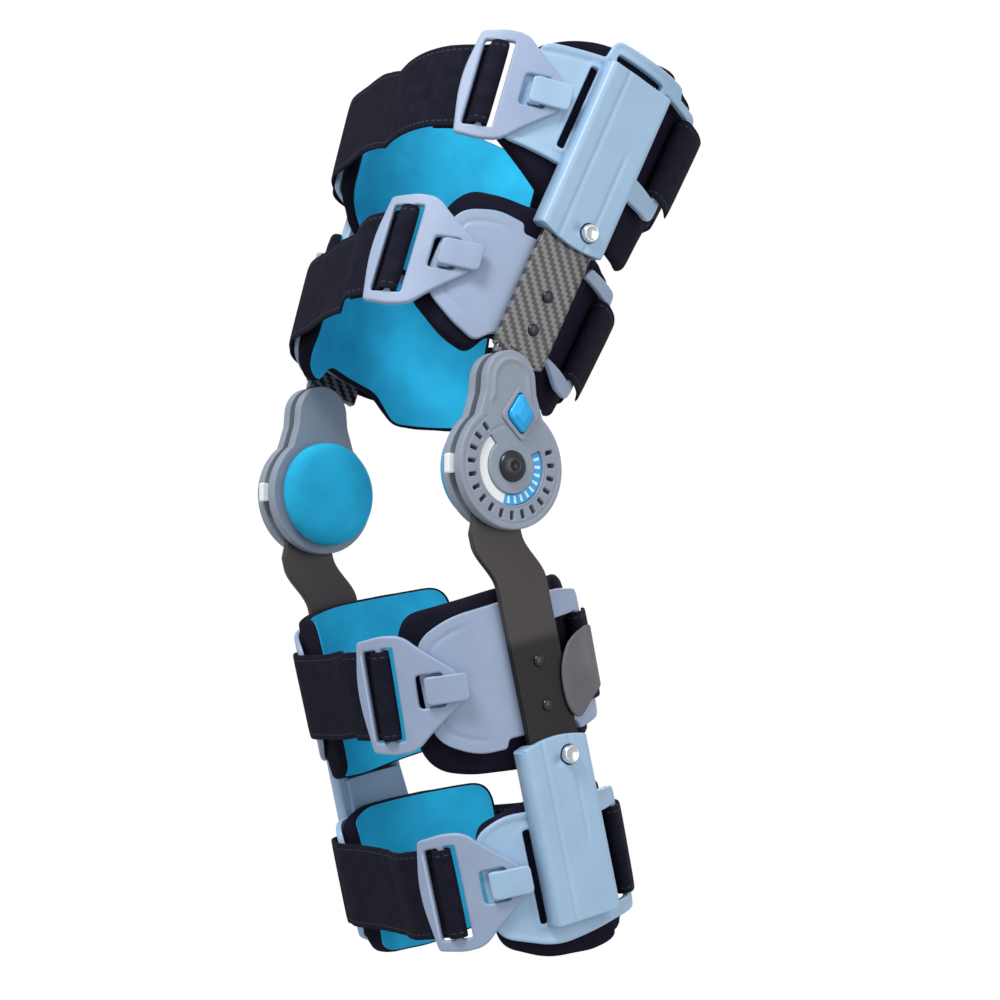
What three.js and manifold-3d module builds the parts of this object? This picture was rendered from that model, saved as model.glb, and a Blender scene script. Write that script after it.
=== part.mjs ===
// Hinged range-of-motion knee splint for a left leg, in millimetres.
// Origin: middle of the knee axis. +X lateral, -Y front of the leg, +Z up.
import * as THREE from 'three';
import { mergeVertices } from 'three/addons/utils/BufferGeometryUtils.js';
import Module from 'manifold-3d';

const wasm = await Module();
wasm.setup();

// Driving dimensions: pose of the two leg segments
const DEG = Math.PI / 180;
const THIGH_LEAN = 23.5 * DEG;
const CALF_LEAN = 14.2 * DEG;
const THIGH_FLARE = 7 * DEG;

// Driving dimensions: stack of layers, measured outwards from the leg's surface
const GAP = 0.35;
const PAD_SKIN = 0.4;
const PAD_THICK = 9.4;
const PAD_REAR_THICK = 6;
const WALL_IN = 10.35;
const WALL_OUT = 13.3;
const BUCKLE_IN = 13.95;
const BUCKLE_OUT = 16.95;
const HOOK_IN = 17.6;
const HOOK_OUT = 20;
const STRAP_THICK = 2;
const STRAP_WIDTH = 48;

// Driving dimensions: struts and hinge
const HINGE_X = 89;
const STRUT_HALF = 2;
const STRUT_DEPTH = WALL_OUT + GAP + STRUT_HALF;
const THIGH_STRUT_WIDTH = 34;
const CALF_STRUT_WIDTH = 32.5;
const THIGH_BEND_Z = 62;
const GROOVE_HALF = 2.5;
const SHELL_THICK = 6;
const DIAL_RADIUS = 33.5;
const NECK_HALF = 16;
const NECK_TOP = 62;
const DISC_RADIUS = 26;
const SHAFT_RADIUS = 6;
const CONDYLE_INNER_X = 68;
const CONDYLE_RADIUS = 29;

// A leg segment: half-widths of its oval section, their growth with height, and its centre
const THIGH = {
  lean: -THIGH_LEAN, centreY: -15, baseZ: THIGH_BEND_Z,
  side: HINGE_X - STRUT_DEPTH, sideGrowth: Math.tan(THIGH_FLARE), depth: 68, depthGrowth: 0.118,
};
const CALF = {
  lean: CALF_LEAN, centreY: -3, baseZ: -80,
  side: HINGE_X - STRUT_DEPTH, sideGrowth: 0, depth: 67.5, depthGrowth: 0.035,
};

// Finishes
const finish = (color, roughness, metalness = 0) => (
  new THREE.MeshStandardMaterial({ color, roughness, metalness })
);
const HOUSING = finish(0xa9c6e0, 0.4);
const CUFF = finish(0xa3a7b8, 0.5);
const HINGE_GREY = finish(0x9a9ea6, 0.5);
const TWILL = finish(0x6a6a6c, 0.35, 0.3);
const DARK_BAR = finish(0x4a4646, 0.5, 0.4);
const FOAM = finish(0x2b2733, 0.95);
const WEBBING = finish(0x25222c, 0.9);
const CYAN = finish(0x19a9ee, 0.5);
const SILVER = finish(0xe6e9ec, 0.25, 0.9);
const STEEL = finish(0x3c3f45, 0.35, 0.8);
const WHITE = finish(0xf2f4f5, 0.5);

// Joining and cutting closed meshes
const WELD = 1e-4;
function welded(geometry) {
  const bare = geometry.clone();
  for (const name of ['normal', 'uv']) bare.deleteAttribute(name);
  return mergeVertices(bare, WELD);
}

function solidOf(geometry) {
  const merged = welded(geometry);
  return new wasm.Manifold(new wasm.Mesh({
    numProp: 3,
    vertProperties: new Float32Array(merged.attributes.position.array),
    triVerts: new Uint32Array(merged.index.array),
  }));
}

function geometryOf(solid) {
  const mesh = solid.getMesh();
  const geometry = new THREE.BufferGeometry();
  geometry.setAttribute('position', new THREE.BufferAttribute(new Float32Array(mesh.vertProperties), 3));
  geometry.setIndex(new THREE.BufferAttribute(new Uint32Array(mesh.triVerts), 1));
  return geometry;
}

const join = (...list) => geometryOf(list.map(solidOf).reduce((whole, part) => whole.add(part)));
const cut = (base, ...tools) => (
  geometryOf(tools.map(solidOf).reduce((left, tool) => left.subtract(tool), solidOf(base)))
);
const common = (a, b) => geometryOf(solidOf(a).intersect(solidOf(b)));

// Moves every vertex by a function and turns the faces round where that mirrors the shape
function reshape(geometry, move) {
  const shape = welded(geometry);
  const position = shape.attributes.position;
  const point = new THREE.Vector3();
  for (let i = 0; i < position.count; i += 1) {
    point.fromBufferAttribute(position, i);
    position.setXYZ(i, ...move(point.x, point.y, point.z));
  }
  let volume = 0;
  const corner = [0, 1, 2].map(() => new THREE.Vector3());
  const index = shape.index.array;
  for (let t = 0; t < index.length; t += 3) {
    corner.forEach((vector, k) => vector.fromBufferAttribute(position, index[t + k]));
    volume += corner[0].dot(corner[1].cross(corner[2]));
  }
  if (volume < 0) {
    for (let t = 0; t < index.length; t += 3) [index[t], index[t + 1]] = [index[t + 1], index[t]];
  }
  return shape;
}

// Closed outline through rows of [across, up, corner radius]; a corner takes under half of each edge
const CORNER_SHARE = 0.48;
function outline(rows, isHole = false) {
  const shape = isHole ? new THREE.Path() : new THREE.Shape();
  const corners = rows.map(([x, y]) => new THREE.Vector2(x, y));
  const count = rows.length;
  corners.forEach((corner, i) => {
    const radius = rows[i][2] ?? 0;
    const towards = (other) => {
      const step = other.clone().sub(corner);
      return corner.clone().add(step.setLength(Math.min(radius, step.length() * CORNER_SHARE)));
    };
    const start = towards(corners[(i + count - 1) % count]);
    const end = towards(corners[(i + 1) % count]);
    if (i === 0) shape.moveTo(start.x, start.y);
    else shape.lineTo(start.x, start.y);
    if (radius > 0) shape.quadraticCurveTo(corner.x, corner.y, end.x, end.y);
  });
  shape.closePath();
  return shape;
}

const rectangle = (x0, y0, x1, y1) => [[x0, y0], [x1, y0], [x1, y1], [x0, y1]];

function extrude(shape, from, to, curveSegments = 2) {
  const geometry = new THREE.ExtrudeGeometry(shape, { depth: to - from, bevelEnabled: false, curveSegments });
  return geometry.translate(0, 0, from);
}

// Flat plate standing across X: outline in (back, up), thickness between two X planes
const plateX = (shape, x0, x1, segments) => reshape(extrude(shape, x0, x1, segments), (y, z, x) => [x, y, z]);

// The front of the leg is flatter towards the medial side, eased in and out over these angles
const MEDIAL_DROP = 15;
const DROP_OVER = [60 * DEG, 125 * DEG];
const DROP_FADE = [130 * DEG, 160 * DEG];
const smooth = (from, to, x) => THREE.MathUtils.smoothstep(x, from, to);

function frontDrop(leg, angle) {
  const fromLateral = leg.mirrored ? Math.PI - angle : angle;
  const share = smooth(...DROP_OVER, fromLateral) - smooth(...DROP_FADE, fromLateral);
  return Math.sin(angle) > 0 ? MEDIAL_DROP * share : 0;
}

// Point of a leg segment: angle from its side towards the front, height, depth off the leg
function legPoint(leg, angle, z, depth) {
  const rise = z - leg.baseZ;
  const side = leg.side + rise * leg.sideGrowth + depth;
  const front = leg.depth + rise * leg.depthGrowth + depth - frontDrop(leg, angle);
  return [side * Math.cos(angle), leg.centreY - front * Math.sin(angle), z];
}

// Way round the leg is measured at the middle of the cuff walls
const WAY_DEPTH = 12;
const meanRadius = (leg, z) => {
  const rise = z - leg.baseZ;
  return (leg.side + leg.depth + rise * (leg.sideGrowth + leg.depthGrowth)) / 2 + WAY_DEPTH;
};
const wrap = (leg) => (s, z, depth) => legPoint(leg, s / meanRadius(leg, z), z, depth);

const steps = (from, to, count) => (
  Array.from({ length: count + 1 }, (_, i) => from + ((to - from) * i) / count)
);

// Closed curved slab over a grid of the leg's surface; depths are functions of the way round
function curvedSlab(leg, ways, heights, inner, outer) {
  const columns = ways.length;
  const rows = heights.length;
  const slab = new THREE.BoxGeometry(1, 1, 1, columns - 1, rows - 1, 1);
  const place = wrap(leg);
  const column = (x) => ways[Math.round((x + 0.5) * (columns - 1))];
  const row = (y) => heights[Math.round((y + 0.5) * (rows - 1))];
  return reshape(slab, (x, y, z) => place(column(x), row(y), (z > 0 ? outer : inner)(column(x))));
}

// Piece of a curved wall inside an outline drawn on the leg's surface
const CUT_MARGIN = 30;
const outlineBox = (shape) => new THREE.Box2().setFromPoints(shape.getPoints(3)).expandByScalar(1);
const evenWays = (shape, count) => steps(outlineBox(shape).min.x, outlineBox(shape).max.x, count);
function curvedPlate(leg, shape, inner, outer, ways, segments) {
  const { min, max } = outlineBox(shape);
  const depthOut = typeof outer === 'function' ? outer : () => outer;
  const slab = curvedSlab(leg, ways, [min.y, max.y], () => inner, depthOut);
  const prism = reshape(extrude(shape, inner - CUT_MARGIN, depthOut(0) + CUT_MARGIN, segments), wrap(leg));
  return common(slab, prism);
}

// Frame of a flat strut: origin in its middle plane, turned by the leg's flare
function strutMatrix(leg, flare) {
  const matrix = new THREE.Matrix4().makeRotationY(flare);
  return matrix.setPosition(HINGE_X, leg.centreY, flare ? leg.baseZ : 0);
}

// A strut's flat plate, outlined in (back, along) in the strut's own frame
const onStrut = (leg, flare, geometry) => geometry.applyMatrix4(strutMatrix(leg, flare));

// Round piece turned about a strut's outward direction, from rows of [radius, outwards]
const ROUND_SIDES = 10;
const HOLE_SIDES = 8;
function turned(rows, back, along, sides = ROUND_SIDES) {
  const lathe = new THREE.LatheGeometry(rows.map(([r, out]) => new THREE.Vector2(r, out)), sides);
  return reshape(lathe, (x, y, z) => [y, back + x, along + z]);
}
const drill = (radius, back, along) => turned(
  [[0, -CUT_MARGIN], [radius, -CUT_MARGIN], [radius, CUT_MARGIN], [0, CUT_MARGIN]], back, along, HOLE_SIDES,
);

// Hook and buckle share a frame: p runs forward along the strap, q runs along the slot
const HOOK = { stem: [1.5, 8.5], pad: [-13, 8.5], root: 1, halfHeight: 7.5, hole: [-1, 13], holeHalf: 9 };
const BUCKLE = {
  slotFrom: 22.5, barFrom: 28.2, barTo: 31.4, slotTo: 38.5,
  slotHalf: 24.8, slotLower: 0.4, slotUpper: 0.6, facets: 4,
  rows: [
    [41.5, 30], [46.5, 2, 16], [41.5, -30], [28, -32], [17, -31, 8], [9, -23],
    [-9, -8, 4], [-9, 8, 4], [9, 23], [17, 31, 8], [28, 32],
  ],
};

// Straps: hook place and turn on the lateral side, then the level and tilt of the ring round the leg
const STRAPS = {
  thigh_upper: {
    leg: THIGH, hookS: 44.5, hookZ: 196.5, turn: -8 * DEG, ringZ: 203.5, tilt: 0.16, over: 25.4,
  },
  thigh_lower: { leg: THIGH, hookS: 52.5, hookZ: 95.5, turn: -8 * DEG, ringZ: 93, tilt: 0.08, over: 22.8 },
  calf_upper: { leg: CALF, hookS: 54, hookZ: -107.5, turn: 3 * DEG, ringZ: -108.5, tilt: -0.03, over: 22.8 },
  calf_lower: { leg: CALF, hookS: 42, hookZ: -215, turn: 0, ringZ: -216, tilt: -0.03, over: 25.4 },
};

const fromHook = ({ hookS, hookZ, turn }) => ([p, q, r]) => [
  hookS + p * Math.cos(turn) - q * Math.sin(turn),
  hookZ + p * Math.sin(turn) + q * Math.cos(turn),
  r,
];

function hook(strap) {
  const place = fromHook(strap);
  const { stem: [stemFrom, stemTo], pad: [padFrom, padTo], root, halfHeight } = HOOK;
  const profile = outline([
    [stemFrom, WALL_OUT - root], [stemTo, WALL_OUT - root], [padTo, HOOK_OUT],
    [padFrom, HOOK_OUT], [padFrom, HOOK_IN], [stemFrom, HOOK_IN],
  ]);
  const across = extrude(profile, -halfHeight, halfHeight);
  return reshape(across, (p, depth, q) => {
    const [s, z] = place([p, q]);
    return wrap(strap.leg)(s, z, depth);
  });
}

function buckle(strap) {
  const place = fromHook(strap);
  const half = BUCKLE.slotHalf;
  const shape = outline(BUCKLE.rows.map(place));
  const holes = [
    rectangle(BUCKLE.slotFrom, -half - BUCKLE.slotLower, BUCKLE.barFrom, half + BUCKLE.slotUpper),
    rectangle(BUCKLE.barTo, -half, BUCKLE.slotTo, half),
    rectangle(HOOK.hole[0], -HOOK.holeHalf, HOOK.hole[1], HOOK.holeHalf),
  ];
  for (const hole of holes) shape.holes.push(outline(hole.map(place), true));
  return curvedPlate(strap.leg, shape, BUCKLE_IN, BUCKLE_OUT, evenWays(shape, BUCKLE.facets));
}

// Depth of a strap's middle as it goes round, by angle from the lateral side
const STRAP_AIR = 0.55;
const LEG_AIR = 1.2;
const OVER_WALL = WALL_OUT + STRAP_THICK / 2 + STRAP_AIR;
const OVER_PAD = PAD_REAR_THICK + STRAP_THICK / 2 + STRAP_AIR;
const ON_LEG = STRAP_THICK / 2 + LEG_AIR;
const ringDepths = (over) => [
  [86, ON_LEG], [97, 2.6], [108, 4.8], [118, 7.8], [126, 11], [134, OVER_WALL],
  [142, OVER_WALL + 0.4], [150, OVER_WALL + 1], [158, over - 2.5], [164, over], [174, over - 0.6],
  [186, over - 0.6], [196, over], [203, over - 2.5], [212, OVER_WALL + 0.6], [226, OVER_WALL + 0.5],
  [233, 11], [240, OVER_PAD], [246, OVER_PAD], [253, 4.4], [260, ON_LEG], [284, ON_LEG],
  [291, 4.4], [298, OVER_PAD], [313, OVER_PAD],
];

// Fold round the buckle's inner bar, as [p, depth], from the tucked end outwards
const FOLD = [
  [56, 8.6], [44, 8.8], [33, 9.6], [28.2, 11], [25.9, 13.4], [25.9, 16.6], [27.2, 18.5], [29.8, 19.2],
  [32.5, 18.5], [33.9, 16.4], [34.6, 13.6], [36.4, 11.8], [40, 11.1], [46, 11.1], [58, 10.4],
];
// Fold round the rear bar of a wing, as [way round, depth], from the back inwards and out again
const REAR_SLOT_FROM = -50;
const REAR_FOLD = [
  [-64, OVER_PAD], [-53, OVER_PAD], [-49, 8.8], [-48, 11.8],
  [-49, 14.3], [-52, 15], [-67, 15.1], [-82, 14.4],
];

// The strap leaves the buckle's line for the ring's plane over the first of these spans of degrees
const TO_RING = [80, 118];
const REAR_FADE = [270 * DEG, 300 * DEG];

function strap(band) {
  const { leg, hookS, hookZ, turn, ringZ, tilt, over } = band;
  const stations = [
    ...FOLD.map(([p, depth]) => ({ base: 0, s: hookS + p, depth, onRing: 0 })),
    ...ringDepths(over).map(([angle, depth]) => (
      { base: angle * DEG, s: 0, depth, onRing: smooth(...TO_RING, angle) }
    )),
    ...REAR_FOLD.map(([s, depth]) => ({ base: 2 * Math.PI, s, depth, onRing: 1 })),
  ];
  const radius = meanRadius(leg, ringZ);
  const way = ({ base, s }) => base * radius + s;
  const corner = (station, q, side) => {
    const i = stations.indexOf(station);
    const before = stations[Math.max(i - 1, 0)];
    const after = stations[Math.min(i + 1, stations.length - 1)];
    const tangent = new THREE.Vector2(way(after) - way(before), after.depth - before.depth).normalize();
    const angle = station.base + station.s / radius;
    const shift = -tangent.y * side * STRAP_THICK / 2;
    const depth = station.depth + tangent.x * side * STRAP_THICK / 2;
    const lineZ = hookZ + (way(station) - hookS) * Math.tan(turn) * (1 - station.onRing);
    const planeZ = ringZ + tilt * legPoint(leg, angle, ringZ, station.depth)[1];
    const rearFade = 1 - smooth(...REAR_FADE, angle);
    const slant = THREE.MathUtils.lerp(-Math.sin(turn), tilt * Math.cos(angle) * rearFade, station.onRing);
    const z = THREE.MathUtils.lerp(lineZ, planeZ, station.onRing) + q;
    return legPoint(leg, station.base + (station.s + shift + q * slant) / meanRadius(leg, z), z, depth);
  };
  const strip = new THREE.BoxGeometry(1, 1, 1, stations.length - 1, 1, 1);
  return reshape(strip, (x, y, z) => {
    const station = stations[Math.round((x + 0.5) * (stations.length - 1))];
    return corner(station, Math.sign(y) * STRAP_WIDTH / 2, Math.sign(z));
  });
}

// Walls of the cuffs and housings on the leg's surface: rows of [forward, up, corner radius]
const WALLS = {
  thigh_housing: {
    leg: THIGH, strap: 'thigh_upper', rearTo: -22.5,
    slots: [rectangle(22.8, 173.5, 27.8, 223), rectangle(-18.5, 231.5, 16, 236)],
    rows: [
      [20, 140], [20, 165], [58, 167, 6], [62, 186], [57, 225, 6], [22, 231], [20, 243, 5], [-34, 244, 5],
      [-36, 238], [-60, 239, 8], [-62, 174, 8], [-22, 170], [-20, 140],
    ],
  },
  thigh_plate: {
    leg: THIGH, strap: 'thigh_lower', rearTo: -18.5, slots: [],
    rows: [
      [64, 121, 14], [42, 128], [26, 127], [24, 122], [-24, 122], [-26, 127], [-60, 129, 6],
      [-62, 64, 8], [-40, 61], [-20, 69], [16, 67], [25, 57], [40, 62], [64, 76, 14],
    ],
  },
  calf_plate: {
    leg: CALF, strap: 'calf_upper', rearTo: -18.5, slots: [],
    rows: [
      [14, -69], [43, -71, 10], [65, -81, 14], [65, -134, 14], [43, -146, 10], [26, -146], [24, -141],
      [-25, -141], [-28, -146], [-61, -144, 8], [-62, -74, 8], [-30, -70],
    ],
  },
  calf_housing: {
    leg: CALF, strap: 'calf_lower', rearTo: -22.5, slots: [rectangle(22.8, -241, 27.8, -190)],
    rows: [
      [20, -160], [20, -181], [36, -180, 8], [55, -188, 10], [53, -243, 10], [21, -254, 10], [-24, -250],
      [-60, -250, 8], [-62, -183, 8], [-22, -180], [-20, -160],
    ],
  },
};
const WALL_FACETS = 7;

// Height of a strap's middle where it passes the rear slot
function rearLevel({ leg, ringZ, tilt }) {
  const angle = REAR_SLOT_FROM / meanRadius(leg, ringZ);
  return ringZ + tilt * legPoint(leg, angle, ringZ, WALL_OUT)[1];
}

function wall({ leg, rows, strap: strapName, rearTo, slots }, mirrored) {
  const shape = outline(rows);
  const level = rearLevel(STRAPS[strapName]);
  const half = BUCKLE.slotHalf;
  const rear = rectangle(REAR_SLOT_FROM, level - half, rearTo, level + half);
  for (const hole of [rear, ...slots]) shape.holes.push(outline(hole, true));
  return curvedPlate({ ...leg, mirrored }, shape, WALL_IN, WALL_OUT, evenWays(shape, WALL_FACETS));
}

// Pads behind the cuffs and housings: same rows, thinner behind the rear slot and at the front edge
const PADS = {
  thigh_upper: {
    leg: THIGH,
    rows: [
      [66, 172, 8], [66, 222, 12], [38, 237], [-30, 251, 10], [-86, 248, 12], [-90, 152, 14],
      [-50, 146], [18, 146],
    ],
  },
  thigh_lower: {
    leg: THIGH,
    rows: [
      [72, 124, 12], [62, 137, 8], [10, 140], [-84, 136, 14], [-94, 62, 14], [-40, 52], [-22, 66], [17, 66],
      [24, 52], [42, 55], [72, 72, 10],
    ],
  },
  calf_upper: {
    leg: CALF,
    rows: [
      [76, -78, 9], [68, -66, 8], [10, -62], [-70, -64, 14], [-74, -152, 14], [16, -159], [50, -156],
      [68, -151, 8], [76, -138, 8],
    ],
  },
  calf_lower: {
    leg: CALF,
    rows: [
      [54, -184, 10], [20, -176], [-74, -178, 14], [-74, -256, 14], [-12, -263], [26, -260], [53, -249, 10],
    ],
  },
};

const PAD_STEP = [-38, -27];
const PAD_EDGE = [44, 68];
const PAD_EDGE_DROP = 2.4;
const padDepth = (s) => (
  PAD_REAR_THICK + (PAD_THICK - PAD_REAR_THICK) * smooth(...PAD_STEP, s)
  - PAD_EDGE_DROP * smooth(...PAD_EDGE, s)
);
const PAD_WAYS = [-60, ...PAD_STEP, -2, 22, PAD_EDGE[0], 58];
function pad({ leg, rows }, mirrored) {
  const shape = outline(rows);
  const { min, max } = outlineBox(shape);
  const ways = [min.x, ...PAD_WAYS.filter((s) => s < max.x - 1), max.x];
  return curvedPlate({ ...leg, mirrored }, shape, PAD_SKIN, padDepth, ways, 1);
}

// Telescoping channels: along the strut from the open mouth to the far end, with a bowed mouth
const CHANNELS = {
  thigh: {
    leg: THIGH, flare: THIGH_FLARE, middle: 0, half: 22, strutHalf: THIGH_STRUT_WIDTH / 2,
    mouth: 68, bow: -3.5, end: 167, button: [7, 76],
  },
  calf: {
    leg: CALF, flare: 0, middle: -1.5, half: 21.5, strutHalf: CALF_STRUT_WIDTH / 2,
    mouth: -148, bow: 3.5, end: -243, button: [5, -156],
  },
};
const CHANNEL_FLOOR = -5.2;
const CHANNEL_TOP = 5.6;
const CHANNEL_ROUND = 3;
const BUTTON_RADIUS = 5;
const BUTTON_SIDES = 8;
const BUTTON_PLAY = 0.6;
const STRUT_HOLE_PLAY = 0.9;
const BUTTON_ROWS = [[0, 0.7], [BUTTON_RADIUS, 0.7], [BUTTON_RADIUS, 7.6], [4.2, 8.5], [0, 8.9]];

function channel({ leg, flare, middle, half, strutHalf, mouth, bow, end, button }) {
  const left = middle - half;
  const right = middle + half;
  const shape = new THREE.Shape();
  shape.moveTo(left, mouth);
  shape.quadraticCurveTo(middle, mouth + 2 * bow, right, mouth);
  shape.lineTo(right, end);
  shape.lineTo(left, end);
  shape.closePath();
  const body = plateX(shape, CHANNEL_FLOOR, CHANNEL_TOP, 3);
  const profile = outline([
    [left, CHANNEL_FLOOR, 0], [right, CHANNEL_FLOOR, 0],
    [right, CHANNEL_TOP, CHANNEL_ROUND], [left, CHANNEL_TOP, CHANNEL_ROUND],
  ]);
  const bounds = [Math.min(mouth, end) - CUT_MARGIN, Math.max(mouth, end) + CUT_MARGIN];
  const rounded = reshape(extrude(profile, ...bounds), (y, x, z) => [x, y, z]);
  const boreHalf = strutHalf + GAP;
  const bore = plateX(
    outline(rectangle(-boreHalf, bounds[0], boreHalf, bounds[1])), -STRUT_HALF - GAP, STRUT_HALF + GAP,
  );
  const holeRadius = BUTTON_RADIUS + BUTTON_PLAY;
  const holeRows = [[0, 0], [holeRadius, 0], [holeRadius, CUT_MARGIN], [0, CUT_MARGIN]];
  const hole = turned(holeRows, ...button, BUTTON_SIDES);
  return {
    block: onStrut(leg, flare, common(body, rounded)),
    tools: [bore, hole].map((tool) => onStrut(leg, flare, tool)),
    button: onStrut(leg, flare, turned(BUTTON_ROWS, ...button, BUTTON_SIDES)),
  };
}

// Struts with their rivets and the hole under the button
const RIVET_ROWS = [[0, 2.35], [3.4, 2.35], [2.8, 3.6], [0, 3.6]];
const RIVETS = { thigh: [[1.5, 34], [1.5, 14]], calf: [[0, -104], [0, -128]] };
const RIVET_SIDES = 6;
const rivet = (leg, flare, spot) => onStrut(leg, flare, turned(RIVET_ROWS, ...spot, RIVET_SIDES));
const buttonHole = (kind) => drill(BUTTON_RADIUS + STRUT_HOLE_PLAY, ...CHANNELS[kind].button);

const leaned = (leg, geometry) => geometry.applyMatrix4(new THREE.Matrix4().makeRotationX(leg.lean));

// Thigh strut: flared bar with a flat tongue that reaches down into the hinge's groove
const THIGH_BAR = [-3.4, 164];
const TONGUE_ROWS = [[-12.5, 31], [12.5, 31], [14.5, 50], [14.5, 62], [0, 68], [-4, 66.5]];
function thighStrut() {
  const half = THIGH_STRUT_WIDTH / 2;
  const bar = plateX(outline(rectangle(-half, THIGH_BAR[0], half, THIGH_BAR[1])), -STRUT_HALF, STRUT_HALF);
  const upper = leaned(THIGH, onStrut(THIGH, THIGH_FLARE, cut(bar, buttonHole('thigh'))));
  return join(upper, plateX(outline(TONGUE_ROWS), HINGE_X - STRUT_HALF, HINGE_X + STRUT_HALF));
}

// Calf strut: bar with a sideways S-bend below the disc that turns in the hinge's groove
const CALF_BEND = { shift: -10.5, over: [-62, -36], levels: steps(-30, -64, 6) };
const CALF_END = -238;
const CALF_ROOT = { front: [-18, -13], back: [8, -10] };
const DISC_SEGMENTS = 12;
const SHAFT_HOLE = { radius: SHAFT_RADIUS + 0.4, from: HINGE_X - CUT_MARGIN, to: HINGE_X + CUT_MARGIN };
function shaftHole() {
  const { radius, from, to } = SHAFT_HOLE;
  return turned([[0, from], [radius, from], [radius, to], [0, to]], 0, 0);
}

function calfStrut() {
  const half = CALF_STRUT_WIDTH / 2;
  const shift = (z) => CALF_BEND.shift * smooth(...CALF_BEND.over, z);
  const shape = new THREE.Shape();
  shape.moveTo(...CALF_ROOT.front);
  for (const z of CALF_BEND.levels) shape.lineTo(shift(z) - half, z);
  shape.lineTo(-half, CALF_END);
  shape.lineTo(half, CALF_END);
  for (const z of CALF_BEND.levels.toReversed()) shape.lineTo(shift(z) + half, z);
  shape.lineTo(...CALF_ROOT.back);
  shape.closePath();
  const bar = onStrut(CALF, 0, cut(plateX(shape, -STRUT_HALF, STRUT_HALF), buttonHole('calf')));
  const disc = new THREE.Shape().absarc(0, 0, DISC_RADIUS, 0, 2 * Math.PI);
  const hub = plateX(disc, HINGE_X - STRUT_HALF, HINGE_X + STRUT_HALF, DISC_SEGMENTS);
  return cut(join(bar, hub), shaftHole());
}

// Hinge: teardrop shells either side of the struts, with dial notches, window, lock and pivot
const SHELL_OUTER_X = HINGE_X + GROOVE_HALF + SHELL_THICK;
const SHELL_INNER_X = HINGE_X - GROOVE_HALF - SHELL_THICK;
const NOTCH = { count: 17, first: 130, last: 380, from: 23.6, to: 28.4, half: 1.1 };
const WINDOW = { first: 130, last: 387, from: 14.8, to: 20.7 };
const LOCK_ROWS = [[5, 40, 3], [14, 28, 4], [6, 17, 3], [-4, 27, 4]];
const LOCK = { centre: [5.2, 28], boss: 4, play: 0.6, bossRise: 1.2, from: HINGE_X + 5.4, rise: 4.2 };
const SHELL_SEGMENTS = 7;
const WINDOW_SEGMENTS = 5;
const DIAL_ARC = [128 * DEG, 412 * DEG];
const NECK_FLARE = 0.6;
const NECK_START = 39;

function teardrop() {
  const shape = new THREE.Shape();
  shape.absarc(0, 0, DIAL_RADIUS, ...DIAL_ARC);
  shape.lineTo(NECK_HALF + NECK_FLARE, NECK_START);
  shape.absarc(0, NECK_TOP - NECK_HALF, NECK_HALF, 0, Math.PI);
  shape.lineTo(-NECK_HALF - NECK_FLARE, NECK_START);
  shape.closePath();
  return shape;
}

function ringSector({ first, last, from, to }, inset = 0) {
  const start = first * DEG + inset / from;
  const end = last * DEG - inset / from;
  const shape = new THREE.Shape();
  shape.absarc(0, 0, to - inset, start, end);
  shape.absarc(0, 0, from + inset, end, start, true);
  shape.closePath();
  return shape;
}

const grown = (rows, [cx, cy], by) => rows.map(([x, y, r]) => {
  const step = new THREE.Vector2(x - cx, y - cy);
  step.setLength(step.length() + by);
  return [cx + step.x, cy + step.y, r];
});

function hingeCover() {
  const shape = teardrop();
  steps(NOTCH.first, NOTCH.last, NOTCH.count - 1).forEach((angle) => {
    const turn = new THREE.Vector2();
    const rows = rectangle(NOTCH.from, -NOTCH.half, NOTCH.to, NOTCH.half).map(([x, y]) => {
      turn.set(x, y).rotateAround(new THREE.Vector2(), angle * DEG);
      return [turn.x, turn.y];
    });
    shape.holes.push(outline(rows, true));
  });
  const plate = plateX(shape, HINGE_X + GROOVE_HALF, SHELL_OUTER_X, SHELL_SEGMENTS);
  const bossRows = grown(LOCK_ROWS, LOCK.centre, LOCK.boss);
  const boss = plateX(outline(bossRows), SHELL_OUTER_X - 1, SHELL_OUTER_X + LOCK.bossRise);
  const through = [HINGE_X, HINGE_X + CUT_MARGIN];
  const lockHole = plateX(outline(grown(LOCK_ROWS, LOCK.centre, LOCK.play)), ...through);
  const window = plateX(ringSector(WINDOW), ...through, WINDOW_SEGMENTS);
  return cut(join(plate, boss), lockHole, window, shaftHole());
}

const hingeBack = () => (
  cut(plateX(teardrop(), SHELL_INNER_X, HINGE_X - GROOVE_HALF, SHELL_SEGMENTS), shaftHole())
);
const SCALE_X = [HINGE_X + GROOVE_HALF + GAP, SHELL_OUTER_X - 1.2];
const dialScale = () => plateX(ringSector(WINDOW, GAP), ...SCALE_X, WINDOW_SEGMENTS);
const lockButton = () => plateX(outline(LOCK_ROWS), LOCK.from, SHELL_OUTER_X + LOCK.rise);
const PIVOT_ROWS = [
  [0, SHELL_INNER_X + GAP], [SHAFT_RADIUS, SHELL_INNER_X + GAP], [SHAFT_RADIUS, SHELL_OUTER_X + GAP],
  [8.5, SHELL_OUTER_X + GAP], [7, SHELL_OUTER_X + 2.4], [4, SHELL_OUTER_X + 3.4], [0, SHELL_OUTER_X + 3.8],
];
const pivot = () => turned(PIVOT_ROWS, 0, 0);
const CONDYLE_ROWS = [
  [0, CONDYLE_INNER_X], [CONDYLE_RADIUS - 6, CONDYLE_INNER_X], [CONDYLE_RADIUS, CONDYLE_INNER_X + 4],
  [CONDYLE_RADIUS, SHELL_INNER_X - GAP], [0, SHELL_INNER_X - GAP],
];
const CONDYLE_SIDES = 14;
const condylePad = () => turned(CONDYLE_ROWS, 0, 0, CONDYLE_SIDES);
const TAB_ROWS = [[-36.5, -5.5, 1], [-27.2, -4, 0], [-27.2, 4, 0], [-36.5, 5.5, 1]];
const TAB_X = [HINGE_X - GROOVE_HALF + GAP, HINGE_X + GROOVE_HALF - GAP];
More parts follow.
